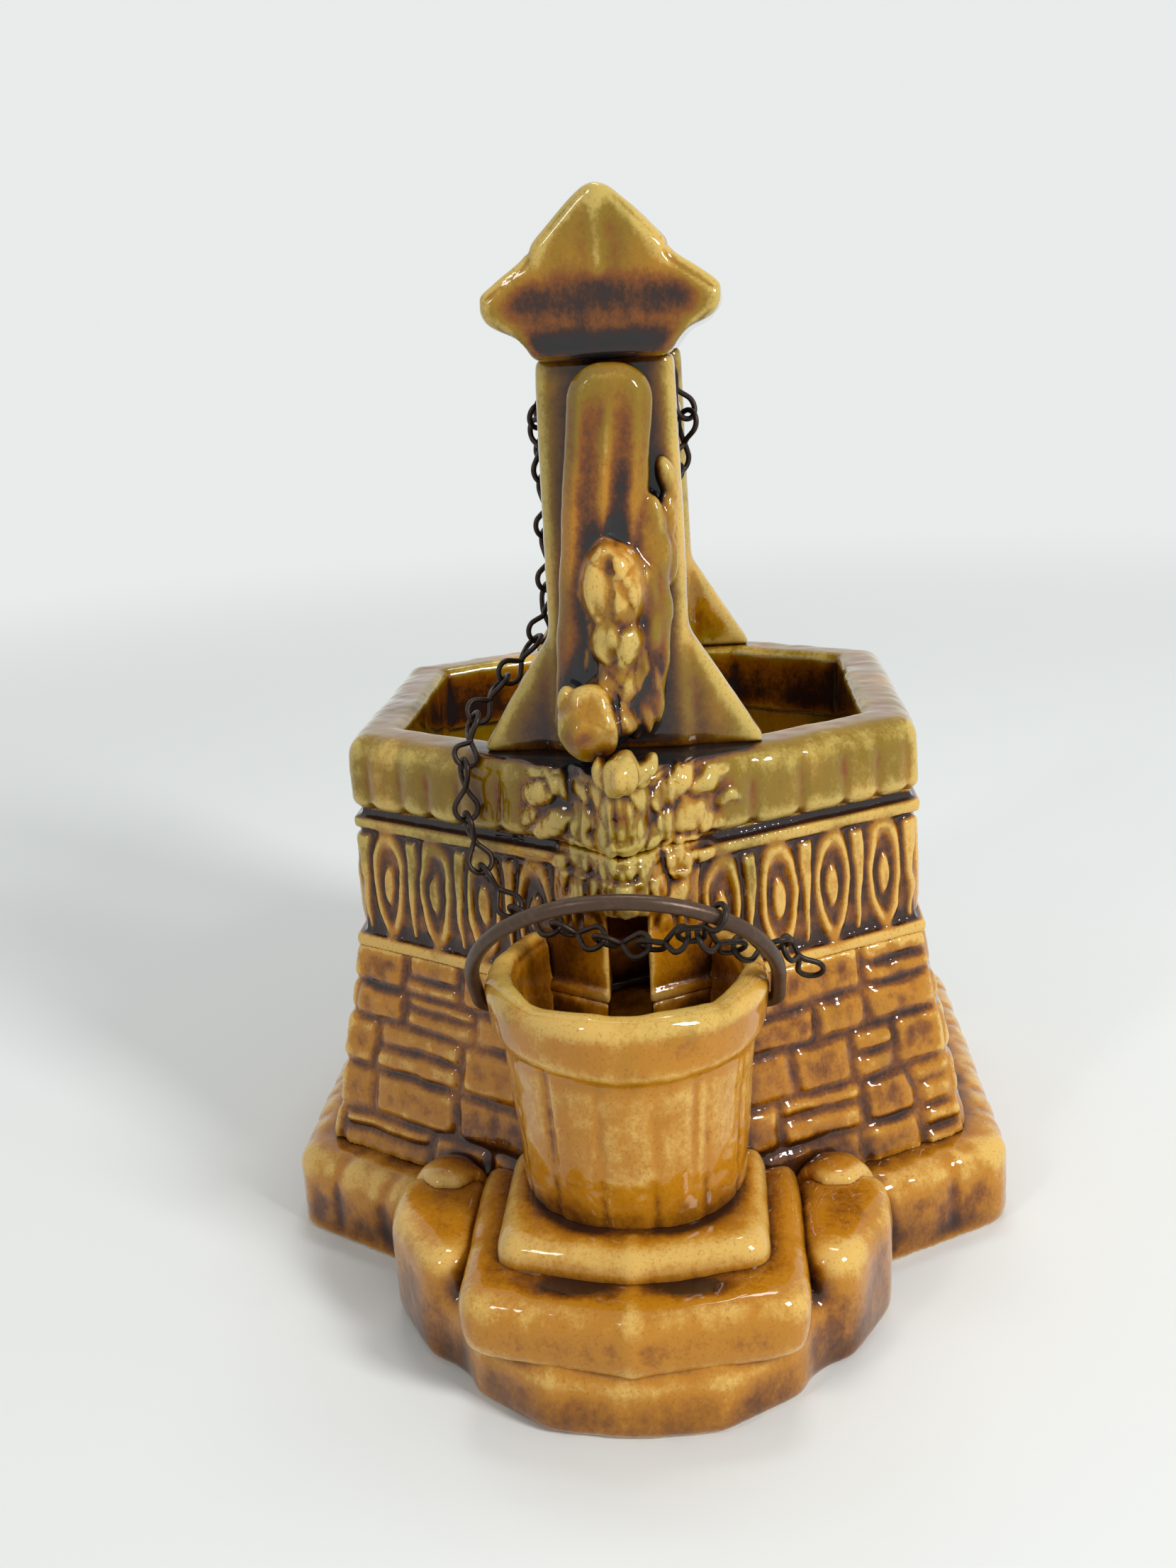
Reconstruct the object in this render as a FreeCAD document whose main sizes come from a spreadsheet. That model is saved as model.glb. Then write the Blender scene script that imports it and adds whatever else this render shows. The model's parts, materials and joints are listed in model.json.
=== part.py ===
"""A glazed earthenware wishing well planter with a wire bail and a jack chain.

The frame stands on the floor at the middle of the six-sided well: X to the
right, Y towards the back, Z up. The bucket stands on its steps towards -Y.
Sizes are in millimetres.
"""
import FreeCAD, Part
import math
import os
import re
from FreeCAD import Placement, Rotation, Vector
from Sketcher import Constraint

# Driving dimensions. A radius of a six-sided member runs from its middle to a corner.
SIZES = {
    "Plinth": {
        "plinth_radius": 72.4,
        "plinth_height": 15.5,
        "plinth_edge_round": 4.0,
        "plinth_corner_round": 6.0,
        "floor_thickness": 5.0,
    },
    "Stone wall": {
        "wall_foot_radius": 64.7,
        "wall_top_radius": 56.4,
        "wall_top_height": 51.4,
        "wall_thickness": 5.8,
        "course_count": 5,
        "joint_width": 1.4,
        "joint_depth": 0.9,
    },
    "Frieze": {
        "frieze_foot_radius": 55.6,
        "frieze_top_radius": 54.0,
        "frieze_top_height": 76.4,
        "lower_ledge_radius": 56.4,
        "upper_ledge_radius": 54.9,
        "ledge_height": 1.8,
        "ledge_groove": 1.6,
    },
    "Coping": {
        "coping_radius": 55.0,
        "coping_top_height": 88.7,
        "coping_round": 3.4,
        "coping_foot_bevel": 1.2,
        "opening_radius": 44.9,
        "opening_half_length": 34.0,
        "opening_bevel": 1.0,
    },
    "Posts and braces": {
        "post_top_half_width": 10.0,
        "post_foot_half_width": 11.0,
        "post_top_height": 148.0,
        "post_front": 41.0,
        "post_thickness": 7.0,
        "post_round": 1.2,
        "brace_reach": 22.0,
        "brace_rise": 18.5,
        "brace_foot_height": 0.8,
        "brace_setback": 1.2,
        "brace_thickness": 4.6,
    },
    "Roof": {
        "roof_half_length": 44.5,
        "roof_apex_height": 171.5,
        "ridge_flat": 1.2,
        "shingle_half_width": 9.6,
        "shingle_height": 163.2,
        "shingle_step": 1.1,
        "eaves_half_width": 17.6,
        "eaves_height": 156.4,
        "eaves_depth": 2.8,
        "soffit_room": 7.6,
        "ridge_round": 2.6,
        "eaves_round": 1.2,
    },
    "Windlass": {
        "windlass_radius": 9.4,
        "windlass_height": 137.0,
        "windlass_collar_radius": 9.9,
        "windlass_collar_length": 5.0,
    },
    "Crank": {
        "crank_half_width": 6.1,
        "crank_top_height": 147.2,
        "crank_foot_height": 90.2,
        "crank_top_shift": 1.3,
        "crank_foot_shift": -4.3,
        "crank_thickness": 7.0,
        "crank_top_round": 5.0,
        "crank_edge_bevel": 1.7,
        "handle_radius": 5.0,
        "handle_length": 7.5,
        "handle_height": 95.0,
    },
    "Vine": {
        "vine_bunch_radius": 4.6,
        "leaf_radius": 2.3,
    },
    "Bucket": {
        "bucket_middle": 59.0,
        "bucket_foot_height": 25.0,
        "bucket_top_height": 60.6,
        "bucket_foot_radius": 18.0,
        "bucket_top_radius": 20.6,
        "bucket_band_height": 9.5,
        "bucket_band_step": 0.9,
        "bucket_wall": 4.4,
        "bucket_floor": 4.0,
        "bucket_lip_bevel": 1.1,
        "stave_count": 14,
        "stave_groove": 0.5,
        "slot_width": 6.4,
        "slot_top_height": 66.0,
    },
    "Steps": {
        "upper_step_half_width": 19.8,
        "upper_step_front": 83.0,
        "upper_step_point": 4.5,
        "lower_step_half_width": 25.2,
        "lower_step_front": 91.0,
        "lower_step_point": 5.5,
        "lower_step_top_height": 20.6,
        "step_round": 2.2,
        "step_bevel": 1.5,
    },
    "Rocks": {
        "rock_top_height": 14.0,
        "front_rock_shoulder": 80.5,
        "front_rock_front": 90.5,
        "side_rock_front": 72.0,
        "side_rock_width": 14.5,
        "side_rock_back": 50.0,
        "rock_round": 4.0,
        "rock_batter": 1.5,
        "pebble_radius": 6.5,
        "pebble_height": 5.0,
    },
    "Bail": {
        "bail_wire": 2.4,
        "bail_room": 2.0,
        "bail_drop": 7.6,
        "ear_drop": 6.6,
        "bail_lean": 38.0,
        "bail_bend": 2.0,
        "ear_clearance": 0.1,
        "ear_depth": 3.2,
    },
    "Chain": {
        "chain_wire": 1.05,
        "chain_pitch": 8.6,
        "chain_clearance": 0.36,
        "chain_eye_radius": 2.0,
        "chain_seat": 0.35,
        "coping_seat": 1.0,
        "chain_sink": 0.4,
        "coil_gap": 0.9,
        "chain_links": 23,
        "leaving_angle": 205.0,
        "bail_link_angle": 52.0,
    },
}

document = FreeCAD.newDocument("WishingWell")
sheet = document.addObject("Spreadsheet::Sheet", "Sizes")
names = []
for group, values in SIZES.items():
    for name, value in values.items():
        names.append(name)
        row = len(names)
        sheet.set(f"A{row}", f"{group}: {name.replace('_', ' ')}")
        sheet.set(f"B{row}", str(value))
        sheet.setAlias(f"B{row}", name)
document.recompute()


def size(name):
    """A driving dimension, as a number."""
    return float(sheet.get(name))


def cells(text):
    """An expression on plain size names, with each name led to its cell."""
    return re.sub(r"[a-z]+(?:_[a-z]+)+", lambda found: "Sizes." + found.group(), text)


def bind(thing, **formulas):
    """Binds properties of a feature to formulas on the sheet."""
    for key, text in formulas.items():
        thing.setExpression(key.replace("__", "."), cells(text))
    return thing


def new_body(label):
    """A part body under its own label."""
    body = document.addObject("PartDesign::Body", label)
    body.Label = label
    return body


def new_sketch(body, name, plane, lift="0"):
    """A sketch on one of the body's own origin planes, lifted along its normal."""
    sketch = body.newObject("Sketcher::SketchObject", name)
    face = [f for f in body.Origin.OriginFeatures if f.Role == plane + "_Plane"][0]
    sketch.AttachmentSupport = [(face, "")]
    sketch.MapMode = "FlatFace"
    sketch.setExpression("AttachmentOffset.Base.z", cells(lift))
    return sketch


def outline(sketch, corners):
    """A closed outline through corners, each a pair of formulas on the sheet."""
    count = len(corners)
    first = sketch.GeometryCount
    for i in range(count):
        turn = 2 * math.pi / count
        start = Vector(30 * math.cos(turn * i), 30 * math.sin(turn * i), 0)
        end = Vector(30 * math.cos(turn * (i + 1)), 30 * math.sin(turn * (i + 1)), 0)
        sketch.addGeometry(Part.LineSegment(start, end), False)
    for i in range(count):
        after = first + (i + 1) % count
        sketch.addConstraint(Constraint("Coincident", first + i, 2, after, 1))
    for i, pair in enumerate(corners):
        for way, text in zip(("DistanceX", "DistanceY"), pair):
            number = sketch.addConstraint(Constraint(way, -1, 1, first + i, 1, 1.0 + i))
            sketch.setExpression(f"Constraints[{number}]", cells(text))
    return sketch


def hexagon(sketch, radius):
    """A six-sided outline with two corners on the sketch's vertical axis."""
    across = f"({radius}) * cos(30)"
    half = f"({radius}) / 2"
    return outline(
        sketch,
        [
            ("0", f"-({radius})"),
            (across, f"-({half})"),
            (across, half),
            ("0", radius),
            (f"-({across})", half),
            (f"-({across})", f"-({half})"),
        ],
    )


def pad(body, name, sketch, length, midplane=False, reverse=False):
    """A pad of a sketch."""
    feature = body.newObject("PartDesign::Pad", name)
    feature.Profile = sketch
    feature.Midplane = midplane
    feature.Reversed = reverse
    feature.setExpression("Length", cells(length))
    document.recompute()
    return feature


def pocket(body, name, sketch, length, midplane=False, reverse=False):
    """A pocket of a sketch, which has to take something away."""
    before = body.Shape.Volume
    feature = body.newObject("PartDesign::Pocket", name)
    feature.Profile = sketch
    feature.Midplane = midplane
    feature.Reversed = reverse
    feature.setExpression("Length", cells(length))
    document.recompute()
    if body.Shape.Volume > before - 0.01:
        raise RuntimeError(f"{name} cuts nothing")
    return feature


def loft(body, name, kind, low, high):
    """A ruled loft, additive or subtractive, between two sketches."""
    feature = body.newObject(f"PartDesign::{kind}Loft", name)
    feature.Profile = low
    feature.Sections = [high]
    feature.Ruled = True
    document.recompute()
    return feature


def fillet(body, name, radius, wanted):
    """Rounds the edges of the body that pass a test."""
    base = body.Tip
    edges = [f"Edge{i + 1}" for i, e in enumerate(base.Shape.Edges) if wanted(e)]
    if not edges:
        raise RuntimeError(f"{name} finds no edge")
    feature = body.newObject("PartDesign::Fillet", name)
    feature.Base = (base, edges)
    feature.setExpression("Radius", cells(radius))
    document.recompute()
    return feature


def chamfer(body, name, width, wanted):
    """Bevels the edges of the body that pass a test."""
    base = body.Tip
    edges = [f"Edge{i + 1}" for i, e in enumerate(base.Shape.Edges) if wanted(e)]
    if not edges:
        raise RuntimeError(f"{name} finds no edge")
    feature = body.newObject("PartDesign::Chamfer", name)
    feature.Base = (base, edges)
    feature.setExpression("Size", cells(width))
    document.recompute()
    return feature


def middle(edge):
    """The middle of an edge's box."""
    return edge.BoundBox.Center


def is_upright(edge):
    """True for an edge that climbs."""
    return edge.BoundBox.ZLength > 2 * max(edge.BoundBox.XLength, edge.BoundBox.YLength)


def lies_at(edge, height):
    """True for an edge that lies level at a height."""
    box = edge.BoundBox
    return abs(box.ZMin - height) < 0.01 and abs(box.ZMax - height) < 0.01


def runs_along_y(edge):
    """True for a straight edge along Y."""
    box = edge.BoundBox
    return box.XLength < 0.01 and box.ZLength < 0.01


def stands_out(edge, radius):
    """True where an edge's middle is outside a six-sided outline of a radius."""
    point = middle(edge)
    across = max(
        abs(point.x),
        abs(point.x / 2 + point.y * math.cos(math.radians(30))),
        abs(point.x / 2 - point.y * math.cos(math.radians(30))),
    )
    return across > radius * math.cos(math.radians(30))


CAVITY = "wall_thickness / cos(30)"


def make_plinth():
    """The broad foot slab, with the floor of the well's hollow."""
    body = new_body("plinth")
    foot = hexagon(new_sketch(body, "plinth_outline", "XY"), "plinth_radius")
    pad(body, "plinth_slab", foot, "plinth_height")
    fillet(body, "plinth_corners", "plinth_corner_round", is_upright)
    top = size("plinth_height")
    fillet(body, "plinth_top_edge", "plinth_edge_round", lambda e: lies_at(e, top))
    hollow = new_sketch(body, "plinth_hollow_outline", "XY", "plinth_height")
    hexagon(hollow, f"wall_foot_radius - {CAVITY}")
    pocket(body, "plinth_hollow", hollow, "plinth_height - floor_thickness")
    return body


def drain_slot(body, name):
    """The slot through the well's near corner, which opens the bucket to the well."""
    sketch = new_sketch(body, name + "_outline", "XZ", "bucket_middle + bucket_top_radius")
    low, high = "bucket_foot_height + bucket_floor", "slot_top_height"
    half = "slot_width / 2"
    outline(sketch, [(f"-{half}", low), (half, low), (half, high), (f"-{half}", high)])
    pocket(body, name, sketch, "bucket_middle")


def make_wall():
    """The battered stone wall, with the bed joints of its courses cut in."""
    body = new_body("stone_wall")
    foot = hexagon(new_sketch(body, "wall_foot", "XY", "plinth_height"), "wall_foot_radius")
    top = hexagon(new_sketch(body, "wall_top", "XY", "wall_top_height"), "wall_top_radius")
    loft(body, "wall_body", "Additive", foot, top)
    inner_foot = new_sketch(body, "wall_hollow_foot", "XY", "plinth_height")
    hexagon(inner_foot, f"wall_foot_radius - {CAVITY}")
    inner_top = new_sketch(body, "wall_hollow_top", "XY", "wall_top_height")
    hexagon(inner_top, f"wall_top_radius - {CAVITY}")
    loft(body, "wall_hollow", "Subtractive", inner_foot, inner_top)
    climb = "(wall_top_height - plinth_height)"
    taper = "(wall_foot_radius - wall_top_radius)"
    for course in range(1, int(size("course_count"))):
        share = f"{course} / course_count"
        joint = new_sketch(body, f"bed_{course}", "XY", f"plinth_height + {climb} * {share}")
        hexagon(joint, f"wall_foot_radius - {taper} * {share} - joint_depth")
        hexagon(joint, "plinth_radius")
        pocket(body, f"bed_joint_{course}", joint, "joint_width")
    drain_slot(body, "wall_slot")
    return body


def make_frieze():
    """The band under the coping: a sunk panel between two ledges."""
    body = new_body("frieze_band")
    foot = new_sketch(body, "frieze_foot", "XY", "wall_top_height")
    hexagon(foot, "frieze_foot_radius")
    top = new_sketch(body, "frieze_top", "XY", "frieze_top_height")
    hexagon(top, "frieze_top_radius")
    loft(body, "frieze_body", "Additive", foot, top)
    lower = new_sketch(body, "lower_ledge_outline", "XY", "wall_top_height")
    hexagon(lower, "lower_ledge_radius")
    pad(body, "lower_ledge", lower, "ledge_height")
    under = "frieze_top_height - ledge_groove - ledge_height"
    upper = new_sketch(body, "upper_ledge_outline", "XY", under)
    hexagon(upper, "upper_ledge_radius")
    pad(body, "upper_ledge", upper, "ledge_height")
    inner_foot = new_sketch(body, "frieze_hollow_foot", "XY", "wall_top_height")
    hexagon(inner_foot, f"wall_top_radius - {CAVITY}")
    inner_top = new_sketch(body, "frieze_hollow_top", "XY", "frieze_top_height")
    hexagon(inner_top, f"frieze_top_radius - {CAVITY}")
    loft(body, "frieze_hollow", "Subtractive", inner_foot, inner_top)
    drain_slot(body, "frieze_slot")
    return body


def make_coping():
    """The thick rim with its six-sided opening, cut off square at the posts."""
    body = new_body("coping")
    rim = new_sketch(body, "coping_outline", "XY", "frieze_top_height")
    hexagon(rim, "coping_radius")
    pad(body, "coping_ring", rim, "coping_top_height - frieze_top_height")
    foot, top = size("frieze_top_height"), size("coping_top_height")
    fillet(body, "coping_corners", "coping_round", is_upright)
    fillet(body, "coping_top_edge", "coping_round", lambda e: lies_at(e, top))
    chamfer(body, "coping_foot_edge", "coping_foot_bevel", lambda e: lies_at(e, foot))
    opening = new_sketch(body, "opening_outline", "XY", "coping_top_height")
    side = "opening_radius * cos(30)"
    end = "(opening_radius - opening_half_length) / tan(30)"
    length = "opening_half_length"
    outline(
        opening,
        [
            (end, f"-{length}"),
            (side, "-opening_radius / 2"),
            (side, "opening_radius / 2"),
            (end, length),
            (f"-{end}", length),
            (f"-({side})", "opening_radius / 2"),
            (f"-({side})", "-opening_radius / 2"),
            (f"-{end}", f"-{length}"),
        ],
    )
    pocket(body, "opening", opening, "coping_top_height - frieze_top_height")
    reach = size("opening_radius") + 0.5
    chamfer(
        body,
        "opening_edge",
        "opening_bevel",
        lambda e: lies_at(e, top) and not stands_out(e, reach),
    )
    return body


def make_post(label, near):
    """One upright slab between the coping and the roof."""
    body = new_body(label)
    lift = "post_front - post_thickness" if near else "-post_front"
    sketch = new_sketch(body, label + "_outline", "XZ", lift)
    foot, top = "post_foot_half_width", "post_top_half_width"
    outline(
        sketch,
        [
            (f"-{foot}", "coping_top_height"),
            (foot, "coping_top_height"),
            (top, "post_top_height"),
            (f"-{top}", "post_top_height"),
        ],
    )
    pad(body, label + "_slab", sketch, "post_thickness")
    fillet(body, label + "_edges", "post_round", is_upright)
    return body


def make_brace(label, near, side):
    """One sloping brace between the coping and a post's side."""
    body = new_body(label)
    if near:
        lift = "post_front - brace_setback - brace_thickness"
    else:
        lift = "brace_setback - post_front"
    sketch = new_sketch(body, label + "_outline", "XZ", lift)
    taper = "(post_foot_half_width - post_top_half_width)"
    lean = f"{taper} * brace_rise / (post_top_height - coping_top_height)"
    corners = [
        ("post_foot_half_width", "coping_top_height"),
        ("brace_reach", "coping_top_height"),
        ("brace_reach", "coping_top_height + brace_foot_height"),
        (f"post_foot_half_width - {lean}", "coping_top_height + brace_rise"),
    ]
    if side < 0:
        corners = [(f"-({x})", z) for x, z in corners]
    outline(sketch, corners)
    pad(body, label + "_web", sketch, "brace_thickness")
    return body


def make_roof():
    """The saddle roof: two courses of shingles on each slope over a solid soffit."""
    body = new_body("roof")
    sketch = new_sketch(body, "roof_outline", "XZ")
    right = [
        ("post_top_half_width", "post_top_height"),
        ("eaves_half_width - eaves_depth / 3", "eaves_height - eaves_depth"),
        ("eaves_half_width", "eaves_height"),
        ("shingle_half_width - shingle_step / 3", "shingle_height - shingle_step"),
        ("shingle_half_width", "shingle_height"),
        ("ridge_flat", "roof_apex_height"),
    ]
    left = [(f"-({x})", z) for x, z in reversed(right)]
    outline(sketch, right + left)
    pad(body, "roof_block", sketch, "2 * roof_half_length", midplane=True)
    hollow = new_sketch(body, "soffit_outline", "XZ")
    low, high = "windlass_height", "windlass_height + windlass_radius + soffit_room"
    half = "post_top_half_width"
    outline(hollow, [(f"-{half}", low), (half, low), (half, high), (f"-{half}", high)])
    pocket(body, "soffit", hollow, "2 * (post_front - post_thickness)", midplane=True)
    apex, eaves = size("roof_apex_height"), size("eaves_height")
    depth = size("eaves_depth")
    fillet(
        body,
        "ridge",
        "ridge_round",
        lambda e: runs_along_y(e) and lies_at(e, apex),
    )
    fillet(
        body,
        "eaves",
        "eaves_round",
        lambda e: runs_along_y(e) and (lies_at(e, eaves) or lies_at(e, eaves - depth)),
    )
    return body


def make_windlass():
    """The log that the chain is wound on, between the two posts."""
    body = new_body("windlass")
    half = "(post_front - post_thickness)"
    log = new_sketch(body, "windlass_section", "YZ")
    low = "windlass_height"
    high = f"{low} + windlass_radius"
    collar = f"{low} + windlass_collar_radius"
    inner = f"({half} - windlass_collar_length)"
    outline(
        log,
        [
            (f"-{half}", low),
            (half, low),
            (half, collar),
            (inner, collar),
            (inner, high),
            (f"-{inner}", high),
            (f"-{inner}", collar),
            (f"-{half}", collar),
        ],
    )
    turn = body.newObject("PartDesign::Revolution", "windlass_turn")
    turn.Profile = log
    turn.ReferenceAxis = (log, ["Edge1"])
    turn.Angle = 360.0
    document.recompute()
    return body


def make_crank():
    """The flat crank arm on the near post, leaning a little, with a round head."""
    body = new_body("crank_arm")
    sketch = new_sketch(body, "crank_outline", "XZ", "post_front")
    wide = "crank_half_width"
    outline(
        sketch,
        [
            (f"crank_foot_shift - {wide}", "crank_foot_height"),
            (f"crank_foot_shift + {wide}", "crank_foot_height"),
            (f"crank_top_shift + {wide}", "crank_top_height"),
            (f"crank_top_shift - {wide}", "crank_top_height"),
        ],
    )
    pad(body, "crank_bar", sketch, "crank_thickness")
    fillet(body, "crank_ends", "crank_top_round", runs_along_y)
    face = -size("post_front") - size("crank_thickness")
    chamfer(
        body,
        "crank_edges",
        "crank_edge_bevel",
        lambda e: abs(e.BoundBox.YMax - face) < 0.01 and abs(e.BoundBox.YMin - face) < 0.01,
    )
    return body


def make_handle():
    """The round grip that stands out of the crank arm's foot."""
    body = new_body("crank_handle")
    lift = "post_front + crank_thickness"
    profile = new_sketch(body, "handle_section", "YZ", "crank_foot_shift")
    face = f"-({lift})"
    nose = f"{face} - handle_length"
    outline(
        profile,
        [
            (face, "handle_height"),
            (nose, "handle_height"),
            (nose, "handle_height + handle_radius * 0.35"),
            (f"{nose} + handle_length * 0.22", "handle_height + handle_radius * 0.85"),
            (f"{nose} + handle_length * 0.6", "handle_height + handle_radius"),
            (face, "handle_height + handle_radius * 0.9"),
        ],
    )
    turn = body.newObject("PartDesign::Revolution", "handle_turn")
    turn.Profile = profile
    turn.ReferenceAxis = (profile, ["Edge1"])
    turn.Angle = 360.0
    document.recompute()
    return body


def make_envelope():
    """The well without its hollow, which the pieces in front are trimmed against."""
    body = new_body("well_envelope")
    foot = hexagon(new_sketch(body, "envelope_plinth", "XY"), "plinth_radius")
    pad(body, "envelope_slab", foot, "plinth_height")
    fillet(body, "envelope_corners", "plinth_corner_round", is_upright)
    top = size("plinth_height")
    fillet(body, "envelope_edge", "plinth_edge_round", lambda e: lies_at(e, top))
    low = hexagon(new_sketch(body, "envelope_foot", "XY", "plinth_height"), "wall_foot_radius")
    top = hexagon(new_sketch(body, "envelope_top", "XY", "wall_top_height"), "wall_top_radius")
    loft(body, "envelope_wall", "Additive", low, top)
    low = new_sketch(body, "envelope_frieze_foot", "XY", "wall_top_height")
    hexagon(low, "frieze_foot_radius")
    top = new_sketch(body, "envelope_frieze_top", "XY", "frieze_top_height")
    hexagon(top, "frieze_top_radius")
    loft(body, "envelope_frieze", "Additive", low, top)
    ledge = new_sketch(body, "envelope_ledge", "XY", "wall_top_height")
    hexagon(ledge, "lower_ledge_radius")
    pad(body, "envelope_lower_ledge", ledge, "ledge_height")
    return body


def trimmed(label, block, *tools):
    """A block with other shapes cut away, so that they meet face to face."""
    for number, tool in enumerate(tools):
        cut = document.addObject("Part::Cut", f"{label}_trim_{number}")
        cut.Base = block
        cut.Tool = tool
        block = cut
    block.Label = label
    document.recompute()
    return block


def stave_joints(body, profile, foot, top, top_radius):
    """Shallow grooves between the bucket's staves, from its foot up to its band."""
    ends = []
    for name, height, radius in (
        ("stave_foot", foot, "bucket_foot_radius - bucket_band_step"),
        ("stave_top", top, top_radius),
    ):
        sketch = new_sketch(body, name, "XY", height)
        inner, outer = f"{radius} - stave_groove", f"{radius} + stave_groove"
        near, far = "-bucket_middle - stave_groove", "-bucket_middle + stave_groove"
        ends.append(outline(sketch, [(inner, near), (outer, near), (outer, far), (inner, far)]))
    groove = loft(body, "stave_groove_cut", "Subtractive", *ends)
    pattern = body.newObject("PartDesign::PolarPattern", "stave_grooves")
    pattern.Originals = [groove]
    pattern.Axis = (profile, ["V_Axis"])
    pattern.Angle = 360.0
    pattern.setExpression("Occurrences", cells("stave_count"))
    body.Tip = pattern
    document.recompute()


def make_bucket(envelope):
    """The hollow bucket: banded lip, staves, a pierced ear each side, open at the back."""
    body = new_body("bucket_body")
    profile = new_sketch(body, "bucket_section", "XZ", "bucket_middle")
    foot, top = "bucket_foot_height", "bucket_top_height"
    under = f"({top} - bucket_band_height)"
    slope = f"(bucket_top_radius - bucket_foot_radius) * ({under} - {foot}) / ({top} - {foot})"
    waist = f"(bucket_foot_radius + {slope} - bucket_band_step)"
    outline(
        profile,
        [
            ("0", foot),
            ("bucket_foot_radius - bucket_band_step", foot),
            (waist, under),
            ("bucket_top_radius", f"{under} + bucket_band_step"),
            ("bucket_top_radius", top),
            ("bucket_top_radius - bucket_wall", top),
            ("bucket_foot_radius - bucket_wall", f"{foot} + bucket_floor"),
            ("0", f"{foot} + bucket_floor"),
        ],
    )
    turn = body.newObject("PartDesign::Revolution", "bucket_turn")
    turn.Profile = profile
    turn.ReferenceAxis = (profile, ["V_Axis"])
    turn.Angle = 360.0
    document.recompute()
    lip = size("bucket_top_height")
    chamfer(body, "lip", "bucket_lip_bevel", lambda e: lies_at(e, lip))
    stave_joints(body, profile, foot, under, waist)
    ears = new_sketch(body, "ear_outline", "YZ")
    circle = ears.addGeometry(Part.Circle(Vector(-50, 50, 0), Vector(0, 0, 1), 2), False)
    bound = [
        (Constraint("Radius", circle, 2.0), "bail_wire / 2 + ear_clearance"),
        (Constraint("DistanceX", -1, 1, circle, 3, -50.0), "-bucket_middle"),
        (Constraint("DistanceY", -1, 1, circle, 3, 50.0), "bucket_top_height - ear_drop"),
    ]
    for constraint, text in bound:
        number = ears.addConstraint(constraint)
        ears.setExpression(f"Constraints[{number}]", cells(text))
    pocket(body, "ears", ears, "3 * bucket_top_radius", midplane=True)
    return trimmed("bucket", body, envelope)


def make_slab(label, outline_of, low, height, rounding, tools):
    """A level slab on a plan outline, with rounded corners and top, trimmed to fit."""
    body = new_body(label + "_block")
    sketch = new_sketch(body, label + "_outline", "XY", low)
    outline(sketch, outline_of)
    pad(body, label + "_slab", sketch, height)
    front = -size("bucket_middle")
    fillet(
        body,
        label + "_corners",
        rounding,
        lambda e: is_upright(e) and middle(e).y < front,
    )
    top = body.Shape.BoundBox.ZMax
    chamfer(
        body,
        label + "_top",
        "step_bevel",
        lambda e: lies_at(e, top) and middle(e).y < front / 2,
    )
    return trimmed(label, body, *tools)


def step_outline(half, front, point):
    """A step's plan: a shallow point in the middle of its front."""
    shoulder = f"-({front} - {point})"
    back = "-bucket_middle / 2"
    return [
        (f"-{half}", back),
        (f"-{half}", shoulder),
        ("0", f"-{front}"),
        (half, shoulder),
        (half, back),
    ]


def make_upper_step(envelope):
    """The small step under the bucket."""
    return make_slab(
        "upper_step",
        step_outline("upper_step_half_width", "upper_step_front", "upper_step_point"),
        "lower_step_top_height",
        "bucket_foot_height - lower_step_top_height",
        "step_round",
        [envelope],
    )


def make_lower_step(envelope):
    """The broad step under the small one."""
    return make_slab(
        "lower_step",
        step_outline("lower_step_half_width", "lower_step_front", "lower_step_point"),
        "rock_top_height",
        "lower_step_top_height - rock_top_height",
        "rock_round",
        [envelope],
    )


def make_front_rock(envelope):
    """The boulder that carries the steps."""
    half = "lower_step_half_width"
    return make_slab(
        "front_rock",
        [
            (f"-{half}", "-bucket_middle / 2"),
            (f"-{half}", "-front_rock_shoulder"),
            (f"-{half} / 2", "-front_rock_front + rock_batter"),
            ("0", "-front_rock_front"),
            (f"{half} / 2", "-front_rock_front + rock_batter"),
            (half, "-front_rock_shoulder"),
            (half, "-bucket_middle / 2"),
        ],
        "0",
        "rock_top_height",
        "rock_round",
        [envelope],
    )


def make_side_rock(label, side, envelope):
    """A boulder beside the steps, against the plinth."""
    near = "lower_step_half_width"
    far = f"({near} + side_rock_width)"
    corners = [
        (near, "-side_rock_back"),
        (near, "-front_rock_shoulder + rock_batter"),
        (f"{near} + side_rock_width * 0.55", "-side_rock_front"),
        (far, "-side_rock_front + side_rock_width * 0.75"),
        (far, "-side_rock_back"),
    ]
    if side < 0:
        corners = [(f"-({x})", y) for x, y in corners]
    return make_slab(
        label, corners, "0", "lower_step_top_height - rock_batter", "rock_round", [envelope]
    )


def make_pebble(label, side, envelope, rock):
    """A low domed stone in the corner of the wall, the plinth and a boulder."""
    body = new_body(label + "_block")
    middle_x = f"{'-' if side < 0 else ''}(lower_step_half_width + pebble_radius)"
    middle_y = "-side_rock_back - 1"
    last = None
    levels = [(0.0, 1.0), (0.45, 0.9), (0.85, 0.55), (1.0, 0.2)]
    for number, (rise, share) in enumerate(levels):
        height = f"plinth_height + pebble_height * {rise}"
        ring = new_sketch(body, f"{label}_ring_{number}", "XY", height)
        outline(
            ring,
            [
                (
                    f"{middle_x} + pebble_radius * {share} * cos({60 * i})",
                    f"{middle_y} + pebble_radius * {share} * sin({60 * i})",
                )
                for i in range(6)
            ],
        )
        if last:
            loft(body, f"{label}_layer_{number}", "Additive", last, ring)
        last = ring
    return trimmed(label, body, envelope, rock)


def unit(vector):
    """A copy of a vector at length one."""
    return Vector(vector).normalize()


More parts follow.
